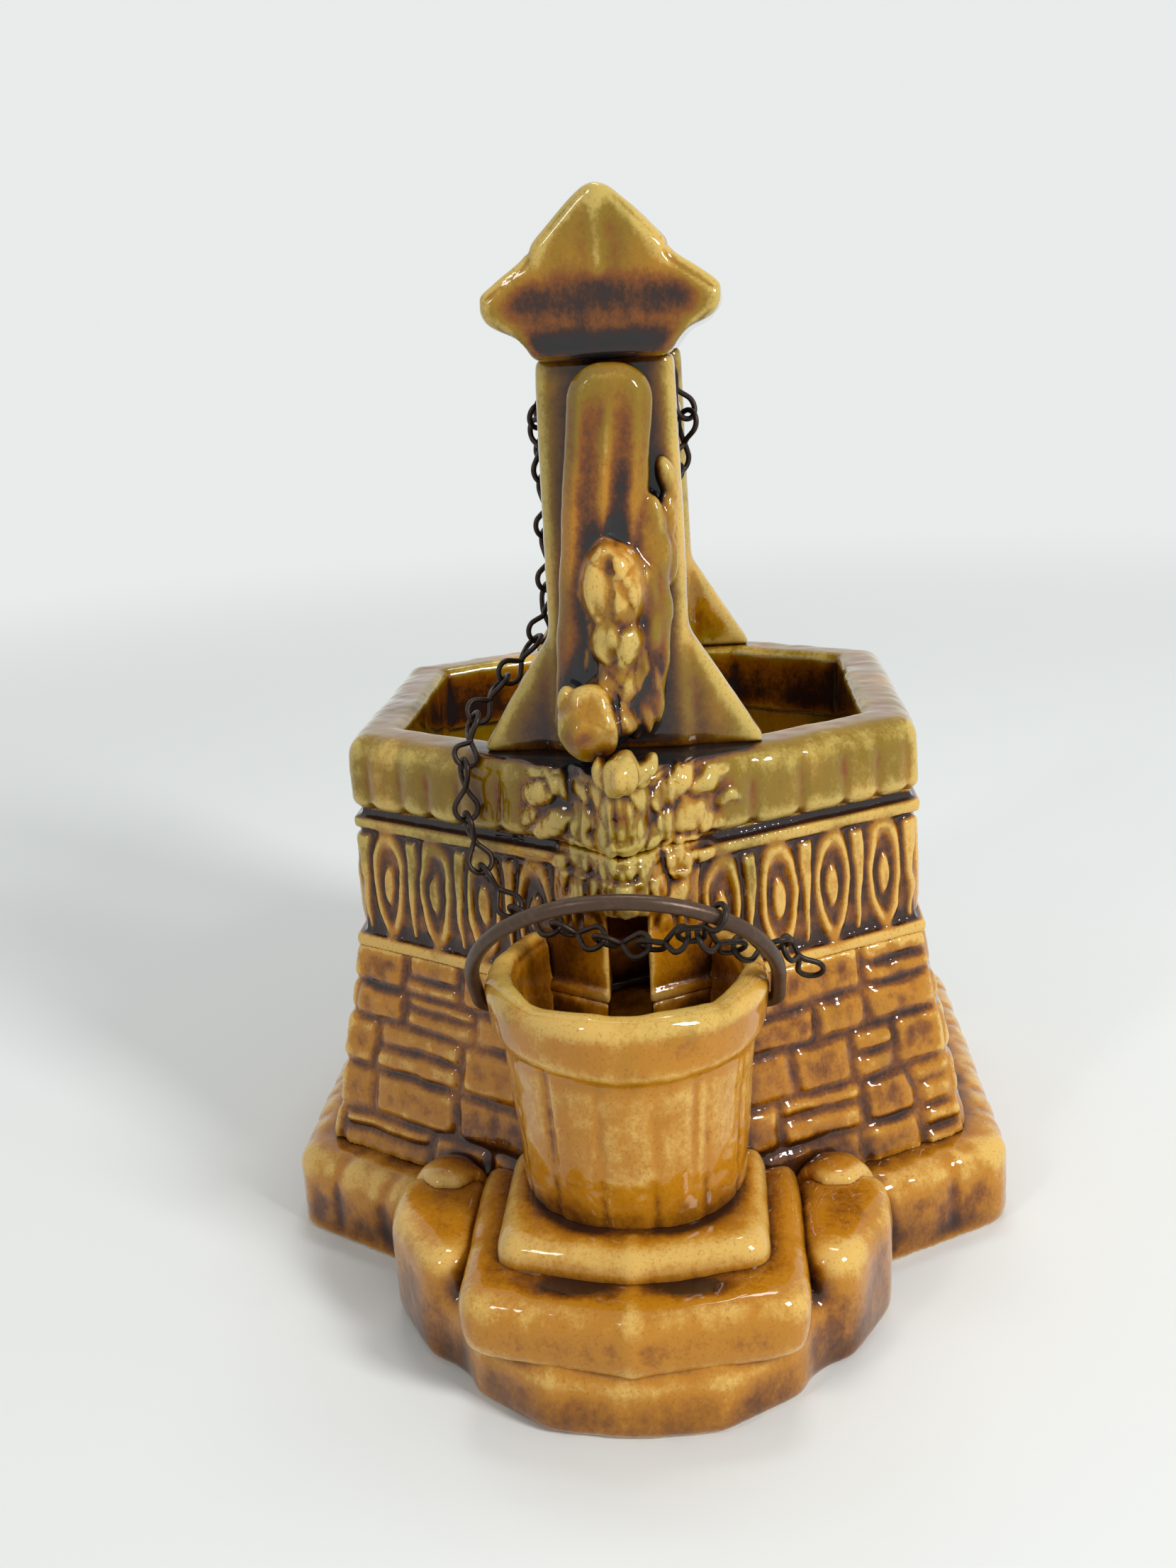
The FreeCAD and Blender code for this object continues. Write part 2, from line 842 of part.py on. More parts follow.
def shaped(label, shape, placement):
    """A part whose shape is made by Part's own functions, then put in its place."""
    thing = document.addObject("Part::Feature", label)
    thing.Label = label
    thing.Shape = shape
    thing.Placement = placement
    return thing


def faceted(stations, sides):
    """A closed many-sided solid through rings, each (middle, way, up, radius)."""
    rings = []
    for centre, way, up, radius in stations:
        side = unit(way.cross(up))
        rise = unit(side.cross(way))
        turns = [2 * math.pi * (i + 0.5) / sides for i in range(sides)]
        corners = [
            centre + side * (radius * math.cos(t)) + rise * (radius * math.sin(t)) for t in turns
        ]
        rings.append(Part.makePolygon(corners + corners[:1]))
    return Part.makeLoft(rings, True, True)


def spindle(start, end, radius):
    """A tapering drop along a line, thickest a third of the way down it."""
    along = end - start
    profile = [(0.0, 0.2), (0.12, 0.68), (0.34, 1.0), (0.62, 0.88), (0.86, 0.5), (1.0, 0.1)]
    out = Vector(0, -1, 0)
    stations = [(start + along * share, along, out, radius * wide) for share, wide in profile]
    return faceted(stations, 6)


def make_vine(label, drops, tools):
    """A cluster of moulded drops and leaves, trimmed to the faces it lies on."""
    shapes = [spindle(Vector(*start), Vector(*end), radius) for start, end, radius in drops]
    block = shapes[0].fuse(shapes[1:])
    cut = block.cut([tool.Shape for tool in tools])
    biggest = max(cut.Solids, key=lambda solid: solid.Volume)
    return shaped(label, biggest, Placement())


def crank_vine(tools):
    """The bunch on the lower half of the crank arm, and its strand down the arm's side."""
    face = -size("post_front") - size("crank_thickness")
    bunch, leaf = size("vine_bunch_radius"), size("leaf_radius")
    return make_vine(
        "crank_vine",
        [
            ((2.0, face, 123.0), (0.5, face - 0.6, 99.5), bunch),
            ((6.4, face + 1.0, 119.0), (3.2, face - 0.4, 100.5), leaf * 1.1),
            ((8.6, face + 4.2, 121.5), (7.0, face + 2.4, 107.0), leaf),
            ((7.6, face + 3.4, 110.0), (4.6, face + 1.0, 92.5), leaf),
        ],
        tools,
    )


def rim_vine(tools):
    """The bunch and the leaves that hang over the rim's near corner."""
    rim = -size("coping_radius")
    bunch, leaf = size("vine_bunch_radius"), size("leaf_radius")
    drops = [
        ((1.6, rim + 1.5, 91.5), (1.2, rim - 0.8, 72.0), bunch * 0.9),
        ((1.0, rim - 0.6, 76.0), (0.9, rim + 0.8, 62.0), bunch * 0.72),
    ]
    slope = math.tan(math.radians(30))
    for side, reach, high, low in (
        (-1, 6.0, 88.0, 78.0),
        (-1, 12.2, 87.0, 82.5),
        (-1, 5.5, 79.5, 69.5),
        (-1, 10.5, 79.0, 71.5),
        (1, 6.5, 87.0, 77.0),
        (1, 13.0, 88.5, 83.5),
        (1, 7.0, 79.5, 69.0),
        (1, 11.5, 76.0, 67.5),
    ):
        start = (side * reach, rim + 1.0 + reach * slope, high)
        end = (side * (reach - 4.2), rim - 0.4 + (reach - 4.2) * slope, low)
        drops.append((start, end, leaf))
    return make_vine("rim_vine", drops, tools)


def bail_radius():
    """From the bail's middle to its wire, clear of the bucket's band."""
    return size("bucket_top_radius") + size("bail_room")


def bail_height():
    """The height of the bail's pivot, under the bucket's lip."""
    return size("bucket_top_height") - size("ear_drop")


def bail_frame():
    """The bail's pivot and lean: local X along the pivot, local Z up the bail."""
    pivot = Vector(0, -size("bucket_middle"), bail_height())
    return Placement(pivot, Rotation(Vector(1, 0, 0), size("bail_lean")))


def signed_angle(first, second, axis):
    """The turn in degrees about an axis that takes one way to another."""
    return math.degrees(math.atan2(first.cross(second).dot(axis), first.dot(second)))


def make_bail():
    """The wire bail, with its ends turned in through the bucket's ears."""
    radius, drop, bend = bail_radius(), size("bail_drop"), size("bail_bend")
    wire = size("bail_wire") / 2
    inner = size("bucket_top_radius") - size("ear_depth")
    cut = bend * (1 - math.sqrt(0.5))
    half = [
        Vector(inner, 0, 0),
        Vector(radius - bend, 0, 0),
        Vector(radius - cut, 0, cut),
        Vector(radius, 0, bend),
        Vector(radius, 0, drop),
    ]
    right, left = half, [Vector(-point.x, 0, point.z) for point in half]
    path = Part.Wire(
        [
            Part.LineSegment(left[0], left[1]).toShape(),
            Part.Arc(left[1], left[2], left[3]).toShape(),
            Part.LineSegment(left[3], left[4]).toShape(),
            Part.Arc(left[4], Vector(0, 0, drop + radius), right[4]).toShape(),
            Part.LineSegment(right[4], right[3]).toShape(),
            Part.Arc(right[3], right[2], right[1]).toShape(),
            Part.LineSegment(right[1], right[0]).toShape(),
        ]
    )
    sides = 10
    turns = [2 * math.pi * i / sides for i in range(sides)]
    ring = [left[0] + Vector(0, wire * math.cos(t), wire * math.sin(t)) for t in turns]
    rod = path.makePipeShell([Part.makePolygon(ring + ring[:1])], True, False)
    section = sides / 2 * wire**2 * math.sin(2 * math.pi / sides)
    if abs(rod.Volume / (section * path.Length) - 1) > 0.01:
        raise RuntimeError("the bail's wire has lost its volume")
    return shaped("bail", rod, bail_frame())


def link_half_length():
    """From a link's waist to the middle of the wire at its end."""
    return (size("chain_pitch") + size("chain_wire") + size("chain_clearance")) / 2


def make_link_shape():
    """One figure-of-eight link along X: an eye each way, at right angles.

    Each eye is a round end and two legs that meet at the waist, in six-sided wire
    with three straight runs to each half of the round end.
    """
    half, eye, wire = link_half_length(), size("chain_eye_radius"), size("chain_wire") / 2
    centre = half - eye
    slope = math.asin(eye / centre)
    up = Vector(0, 0, 1)
    arms = []
    for side in (-1, 1):
        way = Vector(math.cos(slope), side * math.sin(slope), 0)
        stations = [(way * (wire * -0.2), way, up, wire)]
        turn = math.pi / 2 + slope
        for i in range(4):
            angle = turn * (1 - i / 3)
            out = Vector(math.cos(angle), side * math.sin(angle), 0)
            ahead = Vector(math.sin(angle), -side * math.cos(angle), 0)
            stations.append((Vector(centre, 0, 0) + out * eye, ahead, up, wire))
        arms.append(faceted(stations, 6))
    loop = arms[0].fuse(arms[1])
    other = loop.rotated(Vector(0, 0, 0), Vector(1, 0, 0), 90)
    other = other.rotated(Vector(0, 0, 0), Vector(0, 0, 1), 180)
    link = loop.fuse(other).removeSplitter()
    if len(link.Solids) != 1:
        raise RuntimeError("a chain link has come apart")
    return link.Solids[0]


def link_reach():
    """How far a link's wire stands off the line through its joints."""
    return size("chain_eye_radius") * math.sqrt(0.5) + size("chain_wire") / 2


def coping_joint():
    """The joint of the chain at the rounded top edge of the coping's near left side."""
    seat = link_reach() + size("coping_seat")
    reach = size("coping_round") + seat
    inset = (size("coping_round") - reach * math.sqrt(0.5)) / math.cos(math.radians(30))
    along = -24.9
    y = -(size("coping_radius") - inset) - along * math.tan(math.radians(30))
    z = size("coping_top_height") - size("coping_round") + reach * math.sqrt(0.5)
    return Vector(along, y, z)


def bail_point(degrees):
    """A point on the bail's middle line, and the way the wire runs there."""
    angle = math.radians(degrees)
    radius = bail_radius()
    local = Vector(radius * math.cos(angle), 0, size("bail_drop") + radius * math.sin(angle))
    run = Vector(-math.sin(angle), 0, math.cos(angle))
    frame = bail_frame()
    return frame.multVec(local), frame.Rotation.multVec(run)


def link_placement(start, end, up):
    """Where a link lies between two joints; its eyes stand 45 degrees off one way."""
    along = unit(end - start)
    side = unit(up.cross(along))
    turned = Rotation(along, side, along.cross(side), "XYZ")
    return Placement((start + end) * 0.5, turned * Rotation(Vector(1, 0, 0), 45))


def leaving_point():
    """Where the chain leaves the windlass, at its left side near the front post."""
    angle = math.radians(size("leaving_angle"))
    radius = size("windlass_radius") + link_reach() + size("chain_seat") + size("chain_sink")
    front = size("post_front") - size("post_thickness") - size("windlass_collar_length")
    return Vector(
        radius * math.cos(angle),
        -front + link_reach() + size("chain_seat"),
        size("windlass_height") + radius * math.sin(angle),
    )


def route_point(curve, place):
    """A point of the chain's route: a curve up to 1, then turns round the windlass."""
    if place <= 1:
        return curve.value(place)
    turn = place - 1
    last = leaving_point()
    angle = math.radians(size("leaving_angle")) - turn
    radius = math.hypot(last.x, last.z - size("windlass_height"))
    spacing = 2 * link_reach() + size("coil_gap")
    return Vector(
        radius * math.cos(angle),
        last.y + spacing * turn / (2 * math.pi),
        size("windlass_height") + radius * math.sin(angle),
    )


def walked(curve, count):
    """Joints one pitch apart along the route, from the bail towards the windlass."""
    pitch = size("chain_pitch")
    joints, place = [curve.value(0)], 0.0
    for _ in range(count):
        here = joints[-1]
        ahead = place
        while (route_point(curve, ahead) - here).Length < pitch:
            ahead += 0.01
        low, high = ahead - 0.01, ahead
        for _ in range(30):
            mid = (low + high) / 2
            if (route_point(curve, mid) - here).Length < pitch:
                low = mid
            else:
                high = mid
        place = high
        joints.append(route_point(curve, place))
    return joints


def bail_link():
    """The link hung on the bail: its placement, and the middle of its lower eye."""
    hold, run = bail_point(size("bail_link_angle"))
    hang = Vector(0.1, 0.62, -0.78)
    hang = unit(hang - run * hang.dot(run))
    half = link_half_length()
    centre = half - size("chain_eye_radius")
    waist = hold + hang * centre
    out = unit(hang.cross(run))
    turned = Rotation(hang, run, out, "XYZ")
    return Placement(waist, turned), waist + hang * centre


def hooked(middle_of_eye, placement, degrees, way):
    """The joint of a link hooked in the bail link's lower eye, and the wire's run there."""
    angle = math.radians(degrees)
    eye = size("chain_eye_radius")
    out = placement.Rotation.multVec(Vector(math.cos(angle), math.sin(angle), 0))
    run = placement.Rotation.multVec(Vector(-math.sin(angle), math.cos(angle), 0))
    wire = middle_of_eye + out * eye
    stand = (size("chain_wire") + size("chain_clearance")) / 2
    return wire - unit(way) * stand, run


def radial_up(joints, i):
    """The way out from the windlass at a link, square to the link."""
    middle_of_link = (joints[i] + joints[i + 1]) * 0.5
    out = Vector(middle_of_link.x, 0, middle_of_link.z - size("windlass_height"))
    along = unit(joints[i] - joints[i + 1])
    return unit(out - along * out.dot(along))


def chain_route(mouth):
    """The chain's way from the bail link: over the bucket, the coping and up."""
    bucket = Vector(0, -size("bucket_middle"), size("bucket_top_height"))
    coping, windlass = coping_joint(), leaving_point()
    guides = [
        mouth,
        bucket + Vector(4.8, -8.0, 6.0),
        bucket + Vector(-2.8, -2.6, 4.6),
        bucket + Vector(-10.4, 2.8, 4.8),
        bucket + Vector(-18.2, 8.2, 5.8),
        coping + Vector(1.7, -4.9, -16.8),
        coping + Vector(-0.3, -2.3, -8.6),
        coping,
        coping + Vector(1.5, 6.7, 4.8),
        coping + Vector(6.9, 11.5, 10.2),
        coping + Vector(11.9, 14.9, 16.2),
        windlass + Vector(-0.7, 0.3, -17.5),
        windlass + Vector(-0.5, 0.5, -8.9),
        windlass,
    ]
    curve = Part.BSplineCurve()
    curve.interpolate(guides)
    curve.scaleKnotsToBounds(0, 1)
    return curve


def carried_ups(joints, first):
    """A way square to each link, carried along the joints without a twist."""
    before = unit(joints[0] - joints[1])
    up, ups = first, []
    for start, end in zip(joints[1:], joints):
        along = unit(end - start)
        up = Rotation(before, along).multVec(up)
        before = along
        ups.append(up)
    return ups


def square_to(way, run):
    """The part of a run that is square to a way, at length one."""
    way = unit(way)
    return unit(run - way * run.dot(way))


def main_run(mouth, run):
    """The links from the bail link to the windlass, with the twist spread between."""
    joints = walked(chain_route(mouth), int(size("chain_links")))
    way = joints[0] - joints[1]
    ups = carried_ups(joints, Rotation(way, -45).multVec(square_to(way, run)))
    low = size("windlass_height") - 6
    free = next(i for i, joint in enumerate(joints) if joint.z > low)
    seen = unit(joints[free] - joints[free + 1])
    twist = (signed_angle(ups[free], radial_up(joints, free), seen) + 90) % 180 - 90
    places = []
    for i, up in enumerate(ups):
        start, end = joints[i + 1], joints[i]
        if i >= free:
            up = radial_up(joints, i)
        else:
            up = Rotation(end - start, twist * i / free).multVec(up)
        places.append(link_placement(start, end, up))
    return places[::-1]


def tail(start, run, ways):
    """The loose links beyond the bail link."""
    before = unit(ways[0])
    up = Rotation(before, 45).multVec(square_to(before, run))
    places = []
    for way in ways:
        along = unit(way)
        end = start + along * size("chain_pitch")
        up = Rotation(before, along).multVec(up)
        before = along
        places.append(link_placement(start, end, up))
        start = end
    return places


def make_chain():
    """All the links, numbered from the windlass to the loose end."""
    shape = make_link_shape()
    hung, eye = bail_link()
    ways = [Vector(0.6, 0.62, -0.5), Vector(0.84, 0.58, -0.18), Vector(0.56, 0.42, -0.76)]
    places = main_run(*hooked(eye, hung, 4, Vector(-0.62, 0.5, -0.6)))
    places.append(hung)
    places += tail(*hooked(eye, hung, -96, ways[0]), ways)
    return [shaped(f"chain_link_{n:02d}", shape, place) for n, place in enumerate(places, 1)]


envelope = make_envelope()
frieze = make_frieze()
coping = make_coping()
front_post = make_post("front_post", True)
near_braces = [make_brace("front_left_brace", True, -1), make_brace("front_right_brace", True, 1)]
crank = make_crank()
handle = make_handle()
parts = [
    make_plinth(),
    make_wall(),
    frieze,
    coping,
    front_post,
    make_post("back_post", False),
    *near_braces,
    make_brace("back_left_brace", False, -1),
    make_brace("back_right_brace", False, 1),
    make_roof(),
    make_windlass(),
    crank,
    handle,
    crank_vine([crank, handle, front_post]),
    rim_vine([coping, frieze, crank, handle, front_post, *near_braces]),
    make_front_rock(envelope),
]
left_rock = make_side_rock("left_rock", -1, envelope)
right_rock = make_side_rock("right_rock", 1, envelope)
parts += [
    left_rock,
    right_rock,
    make_pebble("left_pebble", -1, envelope, left_rock),
    make_pebble("right_pebble", 1, envelope, right_rock),
    make_lower_step(envelope),
    make_upper_step(envelope),
    make_bucket(envelope),
    make_bail(),
]
parts += make_chain()
document.recompute()

os.makedirs("parts", exist_ok=True)
for thing in document.Objects:
    if "Invalid" in thing.State or "Error" in thing.State:
        raise RuntimeError(f"{thing.Label} failed: {thing.State}")
for part in parts:
    if part.Shape.isNull() or not part.Shape.isValid():
        raise RuntimeError(f"{part.Label} has no valid shape")
    part.Shape.exportStep(f"parts/{part.Label}.step")
    print(part.Label, len(part.Shape.Solids), round(part.Shape.Volume, 2))
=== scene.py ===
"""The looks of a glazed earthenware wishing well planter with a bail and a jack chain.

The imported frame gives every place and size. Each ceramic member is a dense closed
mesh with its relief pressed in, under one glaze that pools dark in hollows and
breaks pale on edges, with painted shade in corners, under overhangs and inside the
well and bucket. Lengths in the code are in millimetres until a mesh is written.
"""

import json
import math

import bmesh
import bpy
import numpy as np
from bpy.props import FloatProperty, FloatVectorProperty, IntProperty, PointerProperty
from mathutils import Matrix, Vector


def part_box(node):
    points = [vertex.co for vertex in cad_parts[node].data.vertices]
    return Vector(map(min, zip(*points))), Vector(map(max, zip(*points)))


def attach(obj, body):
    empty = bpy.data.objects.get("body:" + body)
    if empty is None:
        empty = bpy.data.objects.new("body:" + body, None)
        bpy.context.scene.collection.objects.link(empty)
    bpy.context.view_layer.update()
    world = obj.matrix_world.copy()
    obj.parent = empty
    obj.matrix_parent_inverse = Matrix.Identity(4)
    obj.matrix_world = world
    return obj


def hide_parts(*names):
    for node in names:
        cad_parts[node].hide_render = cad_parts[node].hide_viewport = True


bl_info = {
    "name": "Wishing well planter",
    "version": (1, 0, 0),
    "blender": (4, 5, 0),
    "location": "3D View > Sidebar > Planter",
    "description": "Builds the glazed planter, its bail and its chain round a packed frame",
    "category": "Object",
}

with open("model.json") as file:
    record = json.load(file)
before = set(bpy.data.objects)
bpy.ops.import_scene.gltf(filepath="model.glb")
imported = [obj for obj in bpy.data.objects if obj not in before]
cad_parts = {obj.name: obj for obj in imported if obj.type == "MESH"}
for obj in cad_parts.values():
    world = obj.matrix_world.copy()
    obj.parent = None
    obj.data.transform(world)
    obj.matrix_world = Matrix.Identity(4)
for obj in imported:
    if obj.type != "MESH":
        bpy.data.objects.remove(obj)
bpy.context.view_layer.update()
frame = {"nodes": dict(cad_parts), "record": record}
MM = 0.001


def span(node):
    """The lowest and highest corners of a node, in millimetres."""
    low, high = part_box(node)
    return np.array(low) / MM, np.array(high) / MM


PLINTH_TOP = span("stone_wall")[0][2]
WALL_TOP = span("frieze_band")[0][2]
FRIEZE_TOP = span("coping")[0][2]
COPING_TOP = span("coping")[1][2]
BUCKET_TOP = span("bucket")[1][2]
CRANK_FRONT = span("crank_arm")[0][1]
BUCKET_Y = -59.0
SLOT_HALF = 3.2
CORNER_Y = -42
FORWARD = np.array((0.0, -1.0, 0.0))


# Arrays and noise


def cloudy(points, pitch, seed):
    """Smooth noise from -1 to 1 at points, on a lattice of a pitch in millimetres."""
    side = 32
    table = np.random.default_rng(seed).uniform(-1, 1, (side, side, side))
    at = points / pitch + 4 * side
    cell = np.floor(at).astype(int)
    share = at - cell
    share = share * share * (3 - 2 * share)
    total = np.zeros(len(points))
    for corner in np.ndindex(2, 2, 2):
        weight = np.prod(np.where(corner, share, 1 - share), axis=1)
        index = (cell + corner) % side
        total += weight * table[index[:, 0], index[:, 1], index[:, 2]]
    return total


def rise(value, low, high):
    """A smooth step from 0 at low to 1 at high."""
    share = np.clip((value - low) / (high - low), 0, 1)
    return share * share * (3 - 2 * share)


def fall(value, low, high):
    """A smooth step from 1 at low to 0 at high."""
    return 1 - rise(value, low, high)


def hump(distance, width):
    """A round hump of height 1, which has died away two widths out."""
    return np.exp(-((distance / width) ** 2))


FACE_TURNS = np.radians(60 * np.arange(6))
FACE_WAYS = np.stack([np.cos(FACE_TURNS), np.sin(FACE_TURNS)], axis=1)


def on_faces(points):
    """For points round the well: face number, place along that face, and distance out."""
    reach = points[:, :2] @ FACE_WAYS.T
    face = reach.argmax(1)
    way = FACE_WAYS[face]
    along = points[:, 1] * way[:, 0] - points[:, 0] * way[:, 1]
    return face, along, reach.max(1)


def uneven(length, least, most, seed):
    """Places from 0 to a length, with steps of uneven size."""
    random = np.random.default_rng(seed)
    steps = [0.0]
    while steps[-1] < length:
        steps.append(steps[-1] + random.uniform(least, most))
    places = np.array(steps)
    return places * length / places[-1]


def to_joints(along, joints):
    """The distance to the nearest joint, and the number of the stone between two joints."""
    number = np.clip(np.searchsorted(joints, along) - 1, 0, len(joints) - 2)
    return np.minimum(along - joints[number], joints[number + 1] - along), number


# Clay: a dense mesh that reliefs are pressed into


def copied(node):
    """A node's mesh as a bmesh, in millimetres, with split corners joined."""
    shape = bmesh.new()
    shape.from_mesh(frame["nodes"][node].data)
    bmesh.ops.scale(shape, vec=(1 / MM,) * 3, verts=shape.verts)
    bmesh.ops.remove_doubles(shape, verts=shape.verts, dist=0.002)
    return shape


def banded(shape, first, second):
    """Adds a band of four-sided faces between two rings of corners."""
    for i in range(len(first)):
        j = (i + 1) % len(first)
        shape.faces.new((first[i], first[j], second[j], second[i]))


def prism(outline, low, high):
    """An upright solid over a plan outline, as a bmesh."""
    shape = bmesh.new()
    foot = [shape.verts.new((x, y, low)) for x, y in outline]
    head = [shape.verts.new((x, y, high)) for x, y in outline]
    shape.faces.new(foot[::-1])
    shape.faces.new(head)
    banded(shape, foot, head)
    return shape


def hex_ring(levels):
    """A six-sided ring, as a bmesh: each level is a height, an outer and an inner apothem."""
    shape = bmesh.new()
    rings = []
    for height, outer, inner in levels:
        for apothem in (outer, inner):
            reach = apothem / math.cos(math.radians(30))
            turns = [math.radians(60 * i + 30) for i in range(6)]
            ring = [(reach * math.cos(t), reach * math.sin(t), height) for t in turns]
            rings.append([shape.verts.new(corner) for corner in ring])
    outside, inside = rings[0::2], rings[1::2]
    loop = outside + inside[::-1]
    for first, second in zip(loop, loop[1:] + loop[:1]):
        banded(shape, first, second)
    return shape


def as_mesh(shape, name):
    """A mesh from a bmesh, which is freed."""
    mesh = bpy.data.meshes.new(name)
    shape.to_mesh(mesh)
    shape.free()
    return mesh


def as_object(shape, name):
    """An object in the scene from a bmesh."""
    thing = bpy.data.objects.new(name, as_mesh(shape, name))
    bpy.context.scene.collection.objects.link(thing)
    return thing


class Clay:
    """A dense closed mesh held as arrays, in millimetres."""

    def __init__(self, shapes, voxel, cut=None):
        whole = bmesh.new()
        for shape in shapes:
            part = as_mesh(shape, "part")
            whole.from_mesh(part)
            bpy.data.meshes.remove(part)
        bmesh.ops.recalc_face_normals(whole, faces=whole.faces)
        thing = as_object(whole, "clay")
        if cut:
            cutter = as_object(cut, "cutter")
            slot = thing.modifiers.new("slot", "BOOLEAN")
            slot.object = cutter
            slot.solver = "EXACT"
        grid = thing.modifiers.new("grid", "REMESH")
        grid.mode = "VOXEL"
        grid.voxel_size = voxel
        ready = thing.evaluated_get(bpy.context.evaluated_depsgraph_get())
        self.mesh = bpy.data.meshes.new_from_object(ready)
        old = thing.data
        bpy.data.objects.remove(thing)
        bpy.data.meshes.remove(old)
        if cut:
            bpy.data.objects.remove(cutter)
        self.mesh.materials.clear()
        count = len(self.mesh.vertices)
        flat = np.empty(count * 3)
        self.mesh.vertices.foreach_get("co", flat)
        self.points = flat.reshape(-1, 3)
        ends = np.empty(len(self.mesh.edges) * 2, dtype=np.int32)
        self.mesh.edges.foreach_get("vertices", ends)
        self.first, self.second = ends.reshape(-1, 2).T
        both = np.concatenate([self.first, self.second])
        self.degree = np.maximum(np.bincount(both, minlength=count), 1)

    def averaged(self, values):
        """Each point's value, averaged over its neighbours."""
        count = len(self.points)
        columns = [
            np.bincount(self.first, column[self.second], count)
            + np.bincount(self.second, column[self.first], count)
            for column in values.T
        ]
        return np.stack(columns, axis=1) / self.degree[:, None]

    def relax(self, times, share=0.5):
        """Smooths the shape."""
        for _ in range(times):
            self.points += (self.averaged(self.points) - self.points) * share
        return self

    def normals(self):
        """The outward way at each point."""
        self.mesh.vertices.foreach_set("co", self.points.ravel())
        self.mesh.update()
        flat = np.empty(len(self.points) * 3)
        self.mesh.vertex_normals.foreach_get("vector", flat)
        return flat.reshape(-1, 3)

    def push(self, amount, ways=None):
        """Moves each point out by an amount, along its normal if no way is given."""
        ways = self.normals() if ways is None else ways
        self.points = self.points + ways * np.broadcast_to(amount, len(self.points))[:, None]
        return self

    def cloudy(self, pitch, seed, upright=1.0):
        """Noise from -1 to 1 at each point, drawn out upwards where upright is under 1."""
        return cloudy(self.points * (1, 1, upright), pitch, seed)

    def hollow(self, times):
        """How far each point lies under the shape smoothed some times, in millimetres."""
        ways, smooth = self.normals(), self.points
        for _ in range(times):
            smooth = smooth + (self.averaged(smooth) - smooth) * 0.5
        return ((smooth - self.points) * ways).sum(1)

    def fired(self, name, nodes, tone=0.0, finish=None, body="planter", slot="glaze"):
        """The finished piece, in metres, in place of its nodes."""
        fine = self.hollow(7)
        pool = 0.8 * self.hollow(50) + np.where(fine > 0, 0.5, 1.0) * fine
        self.mesh.attributes.new("pool", "FLOAT", "POINT").data.foreach_set("value", pool)
        tone = tone + np.zeros(len(pool))
        self.mesh.attributes.new("tone", "FLOAT", "POINT").data.foreach_set("value", tone)
        self.points[:, 2] = np.maximum(self.points[:, 2], 0.0)
        self.mesh.vertices.foreach_set("co", (self.points * MM).ravel())
        self.mesh.update()
        self.mesh.shade_smooth()
        piece = bpy.data.objects.new(name, self.mesh)
        placed(piece, finish or kept("honey_glaze", glaze), nodes, body)


def placed(piece, finish, nodes, body):
    """Links a piece, gives it its finish and lets it stand for its nodes."""
    piece.data.name = piece.name
    bpy.context.scene.collection.objects.link(piece)
    piece.data.materials.append(finish)
    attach(piece, body)
    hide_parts(*nodes)


def from_nodes(names, voxel):
    """Clay over the shapes of some nodes, swollen a little so that neighbours overlap."""
    return Clay([copied(name) for name in names], voxel).relax(3).push(0.12)


# Shader sockets


class Wire:
    """A shader socket that Python's operators work on, with its own Math nodes."""

    def __init__(self, paint, socket):
        self.paint, self.socket = paint, socket

    def sum_of(self, operation, *values):
        """What one Math node makes of the values."""
        settings = {"operation": operation}
        return self.paint.node("ShaderNodeMath", settings, dict(enumerate(values)))

    def __add__(self, other):
        return self.sum_of("ADD", self, other)

    def __radd__(self, other):
        return self.sum_of("ADD", other, self)

    def __sub__(self, other):
        return self.sum_of("SUBTRACT", self, other)

    def __rsub__(self, other):
        return self.sum_of("SUBTRACT", other, self)

    def __mul__(self, other):
        return self.sum_of("MULTIPLY", self, other)

    def __rmul__(self, other):
        return self.sum_of("MULTIPLY", other, self)

    def least(self, other):
        """The lesser of this and another value."""
        return self.sum_of("MINIMUM", self, other)

    def most(self, other):
        """The greater of this and another value."""
        return self.sum_of("MAXIMUM", self, other)

    def step(self, low, high):
        """A smooth step from 0 at low to 1 at high."""
        settings = {"interpolation_type": "SMOOTHSTEP"}
        return self.paint.node(
            "ShaderNodeMapRange", settings, {"Value": self, "From Min": low, "From Max": high}
        )


EVEN = (1.0, 1.0, 1.0)


